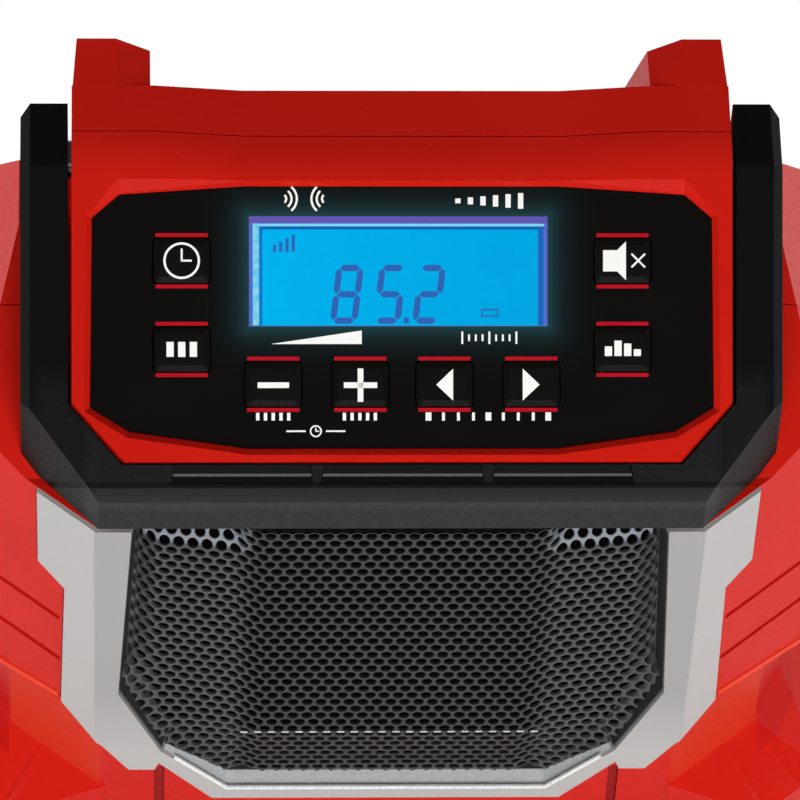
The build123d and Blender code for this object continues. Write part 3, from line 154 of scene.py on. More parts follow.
def plastic(name, colour, shade, rough, grain, depth, specular=0.5, fleck="f0e6e2", flecks=0.0, share=0.05):
    """Moulded plastic: slight colour drift, a grained surface, and sparse flecks."""
    material, tree, place = blank(name)
    drift = noise(tree, place, 38.0, 4.0, 0.6)
    tint = blend(tree, ramp(tree, drift, 0.3, 0.7), lin(colour), lin(shade))
    if flecks:
        dots = maths(tree, "MULTIPLY", sparkle(tree, place, 0.5, share, 0.3), flecks)
        tint = blend(tree, dots, tint, lin(fleck))
    gloss = ramp(tree, noise(tree, place, grain * 3.0, 3.0), 0.3, 0.7, rough - 0.05, rough + 0.06)
    height = maths(tree, "ADD", noise(tree, place, grain, 2.0, 0.6), noise(tree, place, grain * 2.6, 1.0))
    skin(tree, tint, gloss, height, depth, **{"Specular_IOR_Level": specular})
    return material


def hang(name, data):
    """Put an object with the given data into the scene."""
    made = bpy.data.objects.new(name, data)
    home.objects.link(made)
    return made


def outward_mesh(form, name):
    """Mesh of a finished form, its faces turned outward."""
    bmesh.ops.recalc_face_normals(form, faces=form.faces)
    mesh = bpy.data.meshes.new(name)
    form.to_mesh(mesh)
    form.free()
    return mesh


def wall_between(form, first, second):
    """Band of faces from one ring of points of a form to the next."""
    for step in range(len(first)):
        after = (step + 1) % len(first)
        form.faces.new((first[step], first[after], second[after], second[step]))


def softened(node, radius, body, material, angle=15.0, reshape=None, cutter=None, joined=()):
    """Copy of a CAD piece whose sharp edges carry the small radius of a mould."""
    mesh = nodes[node].data.copy()
    work = bmesh.new()
    work.from_mesh(mesh)
    bmesh.ops.remove_doubles(work, verts=work.verts, dist=2e-6)
    if reshape:
        for vert in work.verts:
            side = -1 if vert.co.x < 0 else 1
            x, y, z = reshape(abs(vert.co.x) * 1000, vert.co.y * 1000, vert.co.z * 1000)
            vert.co = (side * x / 1000, y / 1000, z / 1000)
    bmesh.ops.dissolve_limit(work, angle_limit=radians(0.6), verts=work.verts, edges=work.edges)
    for face in work.faces:
        face.smooth = True
    work.to_mesh(mesh)
    work.free()
    source = hang("soft_" + node, mesh)
    tools = [("corner", "UNION", other) for other in joined]
    tools += [("chamfer", "DIFFERENCE", cutter)] if cutter else []
    for label, operation, tool in tools:
        change = source.modifiers.new(label, "BOOLEAN")
        change.operation = operation
        change.solver = "EXACT"
        change.object = tool
    bevel = source.modifiers.new("edge radius", "BEVEL")
    bevel.width = radius / 1000
    bevel.segments = 2
    bevel.limit_method = "ANGLE"
    bevel.angle_limit = radians(angle)
    bevel.use_clamp_overlap = True
    weigh = source.modifiers.new("flat faces stay flat", "WEIGHTED_NORMAL")
    weigh.mode = "FACE_AREA"
    weigh.weight = 90
    weigh.keep_sharp = True
    return settle(source, node + "_shape", body, material, node, smooth=False)


def settle(source, name, body, material, *replaced, smooth=True, reshape=None, trim=()):
    """Turn an object with modifiers into a plain piece that rides a CAD body."""
    graph = bpy.context.evaluated_depsgraph_get()
    mesh = bpy.data.meshes.new_from_object(source.evaluated_get(graph), depsgraph=graph)
    bpy.data.objects.remove(source)
    if reshape:
        for vertex in mesh.vertices:
            vertex.co = [mm / 1000 for mm in reshape(*(1000 * part for part in vertex.co))]
    if trim:
        work = bmesh.new()
        work.from_mesh(mesh)
        for point, outward in trim:
            everything = work.verts[:] + work.edges[:] + work.faces[:]
            cut = {"plane_co": point, "plane_no": outward, "clear_outer": True}
            bmesh.ops.bisect_plane(work, geom=everything, **cut)
        work.to_mesh(mesh)
        work.free()
    return piece(mesh, name, body, material, *replaced, smooth=smooth)


def piece(mesh, name, body, material, *replaced, smooth=True):
    """Plain object from a mesh that rides a CAD body and may stand for CAD nodes."""
    mesh.materials.clear()
    mesh.materials.append(material)
    for face in mesh.polygons:
        face.material_index = 0
    made = hang(name, mesh)
    if smooth:
        mesh.shade_smooth()
        mesh.set_sharp_from_angle(angle=radians(32))
    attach(made, body)
    if replaced:
        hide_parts(*replaced)
    return made


def finish_node(material, *names):
    """Give CAD nodes a material through their slots."""
    for name in names:
        data = nodes[name].data
        if not data.materials:
            data.materials.append(material)
        for slot in range(len(data.materials)):
            data.materials[slot] = material


red_plastic = plastic("red_plastic", "c61c10", "bd180e", 0.32, 0.45, 0.006, 0.15)
tree = red_plastic.node_tree
# Painted light: the flat facets of the foot's flared corners are tinted a more orange red.
facet_painted_light = region(tree, across=(62.5, 82.5, 0.3), back=(-70, -45.5, 0.3), up=(23.8, 47, 0.3))
# Painted shade: the lower flanks of the wings beside the flares are tinted a deeper red.
flank_painted_shade = region(tree, across=(82.7, 100, 0.3), back=(-70, -23, 0.3), up=(20, 46, 0.3))
# Painted shade: a narrow groove low on the front, beside the frame, is tinted dark red.
chin_groove_shade = region(tree, across=(46.3, 50.9, 0.2), back=(-63.8, -50, 0.1), up=(-10, 32.2, 0.2))
# Painted shade: the inside of the speaker pocket behind the grille is tinted near black.
pocket_shade = region(tree, across=(-1000, 60.4, 0.04), back=(-62.4, -46, 0.04), up=(22, 122.6, 0.04))
overlay(red_plastic, (facet_painted_light, "c22d1a"), (flank_painted_shade, "b4140f"), (chin_groove_shade, "8e0d0a"), (pocket_shade, "0a0a0a"))
panel_turn = radians(36)
panel_across = Vector((1, 0, 0))
panel_up = Vector((0, cos(panel_turn), sin(panel_turn)))
panel_out = Vector((0, -sin(panel_turn), cos(panel_turn)))
panel_foot = Vector((0, -0.0565, 0.139))


def at_panel(across, up, out):
    """Point in metres from millimetres across, up and out of the panel plane."""
    return panel_foot + (panel_across * across + panel_up * up + panel_out * out) / 1000


def lip_corner(x, y, z):
    """Bring the two corners of the lip under the flare into the plane of the flare."""
    if z < 12.5 and abs(x - 87.5) < 0.3 and abs(y + 64.0) < 0.3:
        return 84.3, y, z
    if z < 12.5 and abs(x - 98.0) < 0.3 and abs(y + 49.8) < 0.3:
        return x, -52.5, z
    return x, y, z


def solid_hull(name, points):
    """Closed convex solid round points given in millimetres."""
    form = bmesh.new()
    for x, y, z in points:
        form.verts.new((x / 1000, y / 1000, z / 1000))
    hull = bmesh.ops.convex_hull(form, input=form.verts)
    bmesh.ops.delete(form, geom=list({v for v in hull["geom_interior"] if v.is_valid}), context="VERTS")
    bmesh.ops.dissolve_limit(form, angle_limit=radians(0.6), verts=form.verts, edges=form.edges)
    return hang(name, outward_mesh(form, name))


def path(name, points, radius=0.0):
    """Poly curve through points in millimetres, as a round bead if a radius is given."""
    data = bpy.data.curves.new(name, "CURVE")
    data.dimensions = "3D"
    spline = data.splines.new("POLY")
    spline.points.add(len(points) - 1)
    for point, (x, y, z) in zip(spline.points, points):
        point.co = (x / 1000, y / 1000, z / 1000, 1)
    if radius:
        data.bevel_depth = radius / 1000
        data.bevel_resolution = 3
        data.use_fill_caps = True
    return hang(name, data)


# Flared corners of the foot: flat facets from the waist down to the lip.
flare = [(61.45, -64.0, 24.0), (82.0, -46.8, 24.0), (88.5, -32.0, 24.0), (88.5, -22.3, 24.0)]
flare += [(64.0, -64.0, 12.0), (84.3, -64.0, 12.0), (98.0, -52.5, 12.0), (98.0, -22.3, 12.0)]
flare += [(64.0, -60.0, 12.0), (80.0, -44.0, 12.0)]
sides = (("l", -1), ("r", 1))
wedges = [solid_hull("flare_" + label, [(side * x, y, z) for x, y, z in flare]) for label, side in sides]

# Rounded crest that runs from the speaker frame round to the side of each wing: a bead in a paler red, a
# painted highlight along the crest.
crest_highlight_red = plastic("crest_highlight_red", "de4a33", "d6432d", 0.32, 0.45, 0.006, 0.2)
wing_crest = [(71.6, -56.8, 49.8), (91.6, -40.0, 46.2), (92.0, -39.2, 46.1), (92.0, -22.4, 46.0)]
for label, side in sides:
    crest_bead = path("wing_crest", [(side * x, y, z) for x, y, z in wing_crest], 0.6)
    settle(crest_bead, "wing_crest_" + label, "radio", crest_highlight_red)

# Bevelled rim that leads down from the crest of the bezel to the fascia.
rim_top = [(-64.7, 18.0), (64.7, 18.0), (64.7, 49.8), (58.7, 57.3), (-58.7, 57.3), (-64.7, 49.8)]
rim_low = [(-63.8, 18.0), (63.8, 18.0), (63.8, 48.4), (58.3, 53.2), (-58.3, 53.2), (-63.8, 48.4)]
rim_mesh = bpy.data.meshes.new("rim_faces")
rim_mesh.from_pydata(
    [at_panel(x, y, 1.5) for x, y in rim_top] + [at_panel(x, y, -0.4) for x, y in rim_low],
    [],
    [(5, 4, 3, 2, 1, 0), tuple(range(6, 12))]
    + [(i, (i + 1) % 6, (i + 1) % 6 + 6, i + 6) for i in range(6)],
)
rim_form = bmesh.new()
rim_form.from_mesh(rim_mesh)
rim_cutter = hang("rim_cutter", outward_mesh(rim_form, "rim_cutter"))
softened("front_housing", 0.45, "radio", red_plastic, reshape=lip_corner, cutter=rim_cutter, joined=wedges)
for helper in (rim_cutter, *wedges):
    bpy.data.objects.remove(helper)


def full_horn(x, y, z):
    """Set the outer side of the horn flush with the console and slope its inner top."""
    if y > 9.0 and z > 130 and 65.0 < x < 67.0:
        return x + (1.5 if y < 15 else 2.1), y, z
    if z > 172 and 9.0 < y < 26 and 51.5 < x < 53:
        return (x, y, 176.6) if y < 12 else (x, 21.4, 174.6)
    return x, y, z


softened("rear_housing", 0.45, "radio", red_plastic, reshape=full_horn)

# ---------------------------------------------------------------------------
# Base cover and feet: a dark moulded tray screwed on from below, with four
# soft rubber feet pressed into round sockets.
# ---------------------------------------------------------------------------
charcoal_plastic = plastic("charcoal_plastic", "202123", "1b1c1e", 0.5, 0.7, 0.015)
softened("base_cover", 0.6, "radio", charcoal_plastic)
foot_rubber = plastic("foot_rubber", "17171a", "131315", 0.72, 0.9, 0.02, 0.3)
softened("rubber_feet", 0.4, "radio", foot_rubber)


def metal(name, colour, rough, grain, depth, along=(1, 1, 1)):
    """Bare or plated metal with fine scratches; along stretches the grain."""
    material, tree, place = blank(name)
    scaled = put(tree, "ShaderNodeVectorMath", {0: place, 1: along}, operation="MULTIPLY").outputs[0]
    streak = noise(tree, scaled, grain, 3.0)
    cloud = noise(tree, place, 6.0, 3.0)
    tint = blend(tree, ramp(tree, cloud, 0.3, 0.7, 0.0, 0.5), lin(colour), lin("6f7175"))
    gloss = ramp(tree, streak, 0.3, 0.7, rough - 0.06, rough + 0.08)
    skin(tree, tint, gloss, streak, depth, Metallic=1.0)
    return material


zinc_steel = metal("zinc_steel", "b9bcc0", 0.3, 0.3, 0.004)
finish_node(zinc_steel, "base_screws", "housing_screws", "speaker_screws")
finish_node(zinc_steel, "control_board_screws", "main_board_screws", "terminal_screws", "pivot_pins")

# ---------------------------------------------------------------------------
# Speaker frame: a moulded trim in silver metallic lacquer that wraps round
# the swept front and carries a deep skirt inside its opening.
# ---------------------------------------------------------------------------
silver_lacquer, tree, place = blank("silver_lacquer")
flake = ramp(tree, noise(tree, place, 0.22, 2.0), 0.35, 0.65)
cloud = ramp(tree, noise(tree, place, 26.0, 2.0), 0.3, 0.7, 0.0, 0.5)
flake_tint = blend(tree, maths(tree, "MULTIPLY", flake, 0.35), lin("b4b3b1"), lin("cac9c7"))
silver_tint = blend(tree, cloud, flake_tint, lin("b9b8b7"))
# Painted shade: the front face of the frame is darker above the height of the fold.
flat_rim_shade = region(tree, back=(-100, -64.7, 0.2), up=(50, 200, 12))
silver_tint = blend(tree, flat_rim_shade, silver_tint, lin("a3a2a1"))

# The lower wall of the opening is tinted pale, a painted highlight; the rest of the skirt, and what lies
# behind the sheet, is tinted dark, painted shade.
shelf = region(tree, up=(0, 39.2, 0.5))
in_skirt = region(tree, across=(-1000, 60.2, 0.04), back=(-64.1, -57.3, 0.5), up=(0, 120.5, 0.04))
speck = ramp(tree, noise(tree, place, 0.7, 2.0), 0.35, 0.65)
wall_painted_light = blend(tree, speck, lin("eaf0f2"), lin("ffffff"))
silver_tint = blend(tree, maths(tree, "MULTIPLY", shelf, in_skirt), silver_tint, wall_painted_light)
spot = put(tree, "ShaderNodeSeparateXYZ", {0: place}).outputs
sheet_slope = 0.156
sheet_line = maths(tree, "ADD", spot[1], maths(tree, "MULTIPLY", spot[2], sheet_slope))
behind = maths(tree, "MULTIPLY", shelf, within(tree, sheet_line, -0.0565, -0.03, 0.0002))
behind = maths(tree, "MULTIPLY", behind, region(tree, across=(-1000, 60.2, 0.04)))
dark = maths(tree, "MULTIPLY", in_skirt, maths(tree, "SUBTRACT", 1.0, shelf))
skin(
    tree,
    blend(tree, maths(tree, "MAXIMUM", dark, behind), silver_tint, lin("39393a")),
    0.4,
    noise(tree, place, 0.4, 2.0),
    0.003,
    Metallic=0.25,
    Specular_IOR_Level=0.5,
)


def frame_shape(x, y, z):
    """Raise the top edge to the handle and lower the shelf under the grille."""
    if z > 121.4:
        return x, y, z + 1.2
    if x < 36.0 and 24.0 < z < 27.6:
        return x, y, z - 1.4
    return x, y, z


softened("grille_frame", 0.5, "radio", silver_lacquer, reshape=frame_shape)

# ---------------------------------------------------------------------------
# Grille: perforated steel sheet, pressed into a raised middle field with
# lower side fields, then powder-coated black. Every hole is real.
# ---------------------------------------------------------------------------
grille_paint, tree, place = blank("grille_paint")
# Painted light: the side fields are a lighter grey, and their top corners carry a pale painted highlight.
side_field_painted_light = region(tree, across=(32.5, 100, 2))
crown_painted_highlight = maths(tree, "MULTIPLY", side_field_painted_light, region(tree, up=(112.7, 125, 0.4)))
coat = blend(tree, noise(tree, place, 9.0, 3.0), lin("1b1b1d"), lin("252527"))
skin(
    tree,
    blend(tree, crown_painted_highlight, blend(tree, side_field_painted_light, coat, lin("3d3d3f")), lin("8b9199")),
    0.32,
    noise(tree, place, 0.45, 2.0),
    0.01,
    Specular_IOR_Level=0.75,
)


def rings(name, levels, sides):
    """Mesh of rings joined one to the next: each level is a list of points."""
    data = bpy.data.meshes.new(name)
    points = [point for level in levels for point in level]
    faces = []
    for level in range(len(levels) - 1):
        for side in range(sides):
            after = (side + 1) % sides
            a, b = level * sides, (level + 1) * sides
            faces.append((a + side, a + after, b + after, b + side))
    data.from_pydata(points, [], faces)
    return hang(name, data)


pitch = 3.0
hole = 1.2  # radius
sheet = 0.75
rolled, rolled_depth = 0.1, 0.2  # the hole widens at the front, over this depth
drawn = 0.05  # and is a little narrower behind
row_step = 0.8660254  # rows of a close pattern, as a share of the pitch
turns = [radians(30 * step) for step in range(12)]
edge = [(pitch / 2) / cos(radians((30 * step + 30) % 60 - 30)) for step in range(12)]
hexagon = [(r * cos(a), r * sin(a)) for r, a in zip(edge, turns)]


def circle_at(radius, depth):
    """Ring of points in metres from a radius and a depth in millimetres."""
    return [(radius * cos(a) / 1000, radius * sin(a) / 1000, depth / 1000) for a in turns]


cell = rings(
    "grille_cell",
    [
        [(x / 1000, y / 1000, -sheet / 1000) for x, y in hexagon],
        circle_at(hole - drawn, -sheet),
        circle_at(hole - drawn, -rolled_depth),
        circle_at(hole + rolled, 0.0),
        [(x / 1000, y / 1000, 0.0) for x, y in hexagon],
    ],
    12,
)

# The form: a plan of the face from the middle to one side, and how far the
# middle field and the side fields fall back towards the foot and the top.
plan = [(0, -64.6), (28, -64.6), (34, -62.6), (50.5, -60.6), (54.1, -58.2), (56.5, -53.6)]
foot_z, fold_z, top_z = 22.1, 46.5, 122.0
middle_fall, side_fall = 4.4, 2.0
zone_low, zone_high = 31.5, 36.5
plan_path = path("plan_path", [(x, y, 0) for x, y in plan])
side_path = path("side_path", [(0, middle_fall, foot_z), (0, 0, fold_z), (0, 0, top_z)])
side_top = [(0, 0, 112.0), (0, 4.0, 115.8), (0, 11.0, 120.6)]
zone_path = path("zone_path", [(0, side_fall, foot_z), (0, 0, fold_z)] + side_top)
outline_mesh = bpy.data.meshes.new("grille_outline")
half_outline = [(37.0, 22.4), (52.4, 37.0), (61.0, 62.2), (54.8, 120.9)]
outline_points = half_outline + [(-x, z) for x, z in reversed(half_outline)]
outline_mesh.from_pydata(
    [(x / 1000, 0.1, z / 1000) for x, z in outline_points], [], [tuple(range(len(outline_points)))]
)
outline_flat = hang("grille_outline", outline_mesh)

perforate = bpy.data.node_groups.new("perforated_sheet", "GeometryNodeTree")
perforate.interface.new_socket("Geometry", in_out="OUTPUT", socket_type="NodeSocketGeometry")
for kind, labels in (
    ("Object", ("Cell", "Plan", "Side", "Zone", "Outline")),
    ("Material", ("Finish",)),
    ("Float", ("Pitch", "Fold radius")),
):
    for label in labels:
        perforate.interface.new_socket(label, in_out="INPUT", socket_type="NodeSocket" + kind)
given = put(perforate, "NodeGroupInput")


def shape_of(label, radius=None):
    """Geometry of an object input, its corners rounded when a radius is given."""
    found = put(perforate, "GeometryNodeObjectInfo", {"Object": given.outputs[label]}).outputs["Geometry"]
    if radius is None:
        return found
    rounded = put(
        perforate,
        "GeometryNodeFilletCurve",
        {"Curve": found, "Radius": radius, "Limit Radius": True, "Count": 5},
        mode="POLY",
    )
    return rounded.outputs[0]


def calc(kind, *values):
    """Scalar maths node."""
    return maths(perforate, kind, *values)


def vec(kind, *values):
    """Vector maths node."""
    new = put(perforate, "ShaderNodeVectorMath", dict(enumerate(values)), operation=kind)
    return new.outputs[1] if kind in ("DOT_PRODUCT", "LENGTH") else new.outputs[0]


def sample(curve, length):
    """Position and tangent at a length along a curve."""
    found = put(perforate, "GeometryNodeSampleCurve", {"Length": length}, mode="LENGTH")
    perforate.links.new(curve, found.inputs["Curves"])
    return found.outputs["Position"], found.outputs["Tangent"]


plan_curve = shape_of("Plan", given.outputs["Fold radius"])
side_curve = shape_of("Side", given.outputs["Fold radius"])
zone_curve = shape_of("Zone", given.outputs["Fold radius"])


def formed(flat):
    """Where a point of the flat sheet lies on the pressed form."""
    split = put(perforate, "ShaderNodeSeparateXYZ", {0: flat})
    across, up, depth = split.outputs
    side_sign = calc("SIGN", across)
    plan_at, plan_run = sample(plan_curve, calc("ABSOLUTE", across))
    side_at, side_run = sample(side_curve, up)
    zone_at, zone_run = sample(zone_curve, up)
    zone = put(
        perforate,
        "ShaderNodeMapRange",
        {"Value": calc("ABSOLUTE", across), "From Min": zone_low / 1000, "From Max": zone_high / 1000},
        interpolation_type="SMOOTHSTEP",
    ).outputs["Result"]
    lift, run = (
        put(perforate, "ShaderNodeMix", {0: zone, 4: first, 5: second}, data_type="VECTOR").outputs[1]
        for first, second in ((side_at, zone_at), (side_run, zone_run))
    )
    mirror_x = put(perforate, "ShaderNodeCombineXYZ", {0: side_sign, 1: 1.0, 2: 1.0}).outputs[0]
    mirror_y = put(perforate, "ShaderNodeCombineXYZ", {0: 1.0, 1: side_sign, 2: 1.0}).outputs[0]
    base = vec("ADD", vec("MULTIPLY", plan_at, mirror_x), lift)
    outward = vec("NORMALIZE", vec("CROSS_PRODUCT", vec("MULTIPLY", plan_run, mirror_y), run))
    thick = put(perforate, "ShaderNodeVectorMath", {0: outward, "Scale": depth}, operation="SCALE").outputs[0]
    return vec("ADD", base, thick), base


rows, columns = 39, 43
grid = put(
    perforate,
    "GeometryNodeMeshGrid",
    {
        "Vertices X": columns,
        "Vertices Y": rows,
        "Size X": calc("MULTIPLY", given.outputs["Pitch"], columns - 1.0),
        "Size Y": calc("MULTIPLY", given.outputs["Pitch"], (rows - 1) * row_step),
    },
)
points = put(perforate, "GeometryNodeMeshToPoints", {"Mesh": grid.outputs["Mesh"]})
index = put(perforate, "GeometryNodeInputIndex").outputs[0]
odd = calc("MODULO", calc("MODULO", index, float(rows)), 2.0)
shift = put(
    perforate,
    "ShaderNodeCombineXYZ",
    {
        0: calc("MULTIPLY", calc("MULTIPLY", odd, given.outputs["Pitch"]), 0.5),
        1: calc("MULTIPLY", given.outputs["Pitch"], (rows - 1) * row_step / 2),
    },
).outputs[0]
moved = put(perforate, "GeometryNodeSetPosition", {"Geometry": points.outputs[0], "Offset": shift})
landed = formed(put(perforate, "GeometryNodeInputPosition").outputs[0])[1]
flat_landed = vec("MULTIPLY", landed, (1.0, 0.0, 1.0))
aim = put(
    perforate,
    "GeometryNodeRaycast",
    {
        "Target Geometry": shape_of("Outline"),
        "Source Position": flat_landed,
        "Ray Direction": (0.0, 1.0, 0.0),
        "Ray Length": 1.0,
    },
)
missed = put(perforate, "FunctionNodeBooleanMath", {0: aim.outputs["Is Hit"]}, operation="NOT").outputs[0]
kept = put(
    perforate,
    "GeometryNodeDeleteGeometry",
    {"Geometry": moved.outputs[0], "Selection": missed},
    domain="POINT",
)
cells = put(
    perforate, "GeometryNodeInstanceOnPoints", {"Points": kept.outputs[0], "Instance": shape_of("Cell")}
)
real = put(perforate, "GeometryNodeRealizeInstances", {0: cells.outputs[0]})
joined = put(perforate, "GeometryNodeMergeByDistance", {"Geometry": real.outputs[0], "Distance": 0.00002})
flat_now = put(perforate, "GeometryNodeInputPosition").outputs[0]
pressed = put(
    perforate, "GeometryNodeSetPosition", {"Geometry": joined.outputs[0], "Position": formed(flat_now)[0]}
)
coated = put(
    perforate,
    "GeometryNodeSetMaterial",
    {"Geometry": pressed.outputs[0], "Material": given.outputs["Finish"]},
)
put(perforate, "NodeGroupOutput", {0: coated.outputs[0]})


def grown(name, group, settings):
    """Object whose mesh a node group makes from the given inputs."""
    made = hang(name, bpy.data.meshes.new(name))
    modifier = made.modifiers.new("grow", "NODES")
    modifier.node_group = group
    keys = {s.name: s.identifier for s in group.interface.items_tree if s.in_out == "INPUT"}
    for label, value in settings.items():
        modifier[keys[label]] = value
    return made


sheet_source = grown(
    "sheet_source",
    perforate,
    {
        "Cell": cell,
        "Plan": plan_path,
        "Side": side_path,
        "Zone": zone_path,
        "Outline": outline_flat,
        "Finish": grille_paint,
        "Pitch": pitch / 1000,
        "Fold radius": 0.0022,
    },
)


def along_profile(points, place):
    """Height of a poly line over a place, by straight interpolation."""
    for (a, low), (b, high) in zip(points, points[1:]):
        if place <= b:
            return low + (high - low) * max(place - a, 0.0) / (b - a)
    return points[-1][1]


# The sheet is drawn out beyond one width, up to the slanted wall of the
# skirt, and its edge comes forward within reach of the lower corners.
drawn_from, corner_reach = 50.0, 11.0
skirt_low, skirt_half, skirt_rise, skirt_lean = 62.0, 59.2, 59.3, 2.7
sheet_edge = [(35.0, 24.0), (49.5, 39.5), (58.7, 62.0)]
edge_face = [(24.0, -60.6), (32, -61.8), (39.5, -63.0), (62, -61.7)]


def stretch_sheet(x, y, z):
    """Draw the sheet out to the frame's lower corners and bring its edge forward there."""
    side, x = (-1 if x < 0 else 1), abs(x)
    middle, outside = (
        along_profile([(foot_z, fall), (fold_z, 0.0), (top_z, 0.0)], z) for fall in (middle_fall, side_fall)
    )
    share = min(max((x - zone_low) / (zone_high - zone_low), 0.0), 1.0)
    face = along_profile(plan, x) + middle + (outside - middle) * share * share * (3 - 2 * share)
    if x > drawn_from:
        widest = skirt_half - skirt_lean * max(z - skirt_low, 0) / skirt_rise
        x = drawn_from + (x - drawn_from) * (widest - drawn_from) / (plan[-1][0] - drawn_from)
    gap = corner_reach
    for (x0, z0), (x1, z1) in zip(sheet_edge, sheet_edge[1:]):
        run, rise = x1 - x0, z1 - z0
        reach = min(max(((x - x0) * run + (z - z0) * rise) / (run * run + rise * rise), 0.0), 1.0)
        gap = min(gap, ((x - x0 - reach * run) ** 2 + (z - z0 - reach * rise) ** 2) ** 0.5)
    pull = max(1 - gap / corner_reach, 0.0) ** 2 * share
    return side * x, y + min(along_profile(edge_face, z) - face, 0.0) * pull, z


trims = [((0, 0, 0.0238), (0, 0, -1))]  # level cut along the foot, then the slanted ones
for (x0, z0), (x1, z1) in zip(sheet_edge, sheet_edge[1:]):
    for side in (-1, 1):
        trims.append(((side * x0 / 1000, 0, z0 / 1000), (side * (z1 - z0), 0, x0 - x1)))
settle(
    sheet_source,
    "speaker_grille_sheet",
    "radio",
    grille_paint,
    "speaker_grille",
    reshape=stretch_sheet,
    trim=trims,
)
for helper in (cell, plan_path, side_path, zone_path, outline_flat):
    bpy.data.objects.remove(helper)

# Rounded ridge along the front of the frame's lower wall: a bead in a paler
# lacquer that stands for the highlight of this edge.
ridge_line = [(-46.6, 36.6), (-35.0, 24.2), (35.0, 24.2), (46.6, 36.6)]
ridge_painted_highlight, tree, place = blank("ridge_painted_highlight")
ridge_flake = ramp(tree, noise(tree, place, 0.5, 2.0), 0.35, 0.65)
ridge_tint = blend(tree, ridge_flake, lin("e4e4e3"), lin("ffffff"))
skin(tree, ridge_tint, 0.3, noise(tree, place, 0.4, 2.0), 0.002, Metallic=0.2)
ridge_bead = path("frame_ridge", [(x, -64.4, z) for x, z in ridge_line], 0.6)
settle(ridge_bead, "frame_ridge", "radio", ridge_painted_highlight)

# Crest of the lower fold: pale beads between the holes stand for the row of
# glints along it.
crest = bmesh.new()
for step in range(-11, 11):
    mid = (step + 0.5) * pitch
    ring_points = []
    for reach, radius in ((-0.85, 0.06), (-0.7, 0.2), (0.7, 0.2), (0.85, 0.06)):
        ring = [
            (mid + reach, -64.62 + radius * cos(turn), fold_z + radius * sin(turn)) for turn in turns[::2]
        ]
        ring_points.append([crest.verts.new([part / 1000 for part in point]) for point in ring])
    for first, second in zip(ring_points, ring_points[1:]):
        wall_between(crest, first, second)
    crest.faces.new(list(reversed(ring_points[0])))
    crest.faces.new(ring_points[-1])
# The beads' pale finish is a painted glint.
painted_glint = plastic("painted_glint", "e4e4e2", "cfcfcc", 0.35, 0.3, 0.004)
piece(outward_mesh(crest, "grille_crest"), "grille_crest", "radio", painted_glint)

# Cloth behind the grille: black acoustic fabric glued to the baffle.
cloth, tree, place = blank("grille_cloth")
weave = put(
    tree, "ShaderNodeTexWave", {"Vector": place, "Scale": 1000 / 0.9, "Distortion": 0.6}, bands_direction="Z"
)
skin(
    tree,
    blend(tree, weave.outputs["Fac"], lin("050505"), lin("0b0b0c")),
    0.9,
    weave.outputs["Fac"],
    0.06,
    Specular_IOR_Level=0.1,
)
finish_node(cloth, "grille_cloth", "speaker_gasket")

# ---------------------------------------------------------------------------
# Speaker: a coated paper cone and dust cap on a rubber surround, in a zinc
# plated steel basket with a ferrite magnet behind it.
# ---------------------------------------------------------------------------
paper = plastic("coated_paper", "141415", "0f0f10", 0.75, 1.4, 0.05, 0.3)
ferrite = plastic("ferrite", "2c2c2f", "232326", 0.55, 0.8, 0.03, 0.5)
finish_node(paper, "speaker_cone", "dust_cap")
finish_node(foot_rubber, "speaker_surround")
finish_node(zinc_steel, "speaker_basket")
finish_node(ferrite, "speaker_magnet", "ferrite_rod")

# ---------------------------------------------------------------------------
# Handle: a folding bow of grained black plastic, glass-filled and stiff. It
# turns on two steel pins behind snapped-in caps.
# ---------------------------------------------------------------------------
def panel_axes(tree):
    """Millimetres across and up the panel plane, as sockets."""
    place = tree.nodes["Texture Coordinate"].outputs["Object"]
    local = put(tree, "ShaderNodeVectorMath", {0: place, 1: panel_foot}, operation="SUBTRACT").outputs[0]
    return [
        put(tree, "ShaderNodeVectorMath", {0: local, 1: axis * 1000}, operation="DOT_PRODUCT").outputs[1]
        for axis in (panel_across, panel_up)
    ]


def strip(material, low, high, soft):
    """One between two heights on the slope of the panel, in millimetres."""
    tree = material.node_tree
    return within(tree, panel_axes(tree)[1], low, high, soft)


grain = {"fleck": "5a5a5a", "flecks": 0.45, "share": 0.06}
black_plastic = plastic("black_plastic", "141414", "101011", 0.5, 0.42, 0.02, 0.4, **grain)
handle_plastic = plastic("handle_plastic", "161616", "121213", 0.48, 0.42, 0.02, 0.45, **grain)
tree = handle_plastic.node_tree
# Painted shade and light: the handle's outer edges, the slot along the pads and the arms are tinted darker as
# painted shade, and the bevel of the bar lighter as a painted highlight.
overlay(
    handle_plastic,
    (region(tree, across=(75.5, 1000, 1)), "0d0d0d"),
    (strip(handle_plastic, -11.5, -7.1, 0.2), "212121"),
    (strip(handle_plastic, -7.1, -5.9, 0.1), "050505"),
    (region(tree, back=(-44.5, 1000, 2)), "0b0b0b"),
)
duller = ramp(tree, region(tree, across=(65.5, 1000, 1)), 0.0, 1.0, 0.45, 0.18)
tree.links.new(duller, tree.nodes["Principled BSDF"].inputs["Specular IOR Level"])
softened("handle", 0.6, "carry_handle", handle_plastic)
pad_rubber = plastic("pad_rubber", "131314", "0e0e0f", 0.55, 0.5, 0.02, 0.3)
# Painted light and shade: a pale line along the top of the pads is a painted highlight, and their lower side
# is tinted near black as painted shade.
overlay(
    pad_rubber,
    (strip(pad_rubber, -4.7, -4.2, 0.1), "5a5a5a"),
    (strip(pad_rubber, -20, -4.8, 0.1), "040404"),
)
softened("grip_pads", 0.25, "carry_handle", pad_rubber)
softened("pivot_caps", 0.4, "carry_handle", black_plastic)

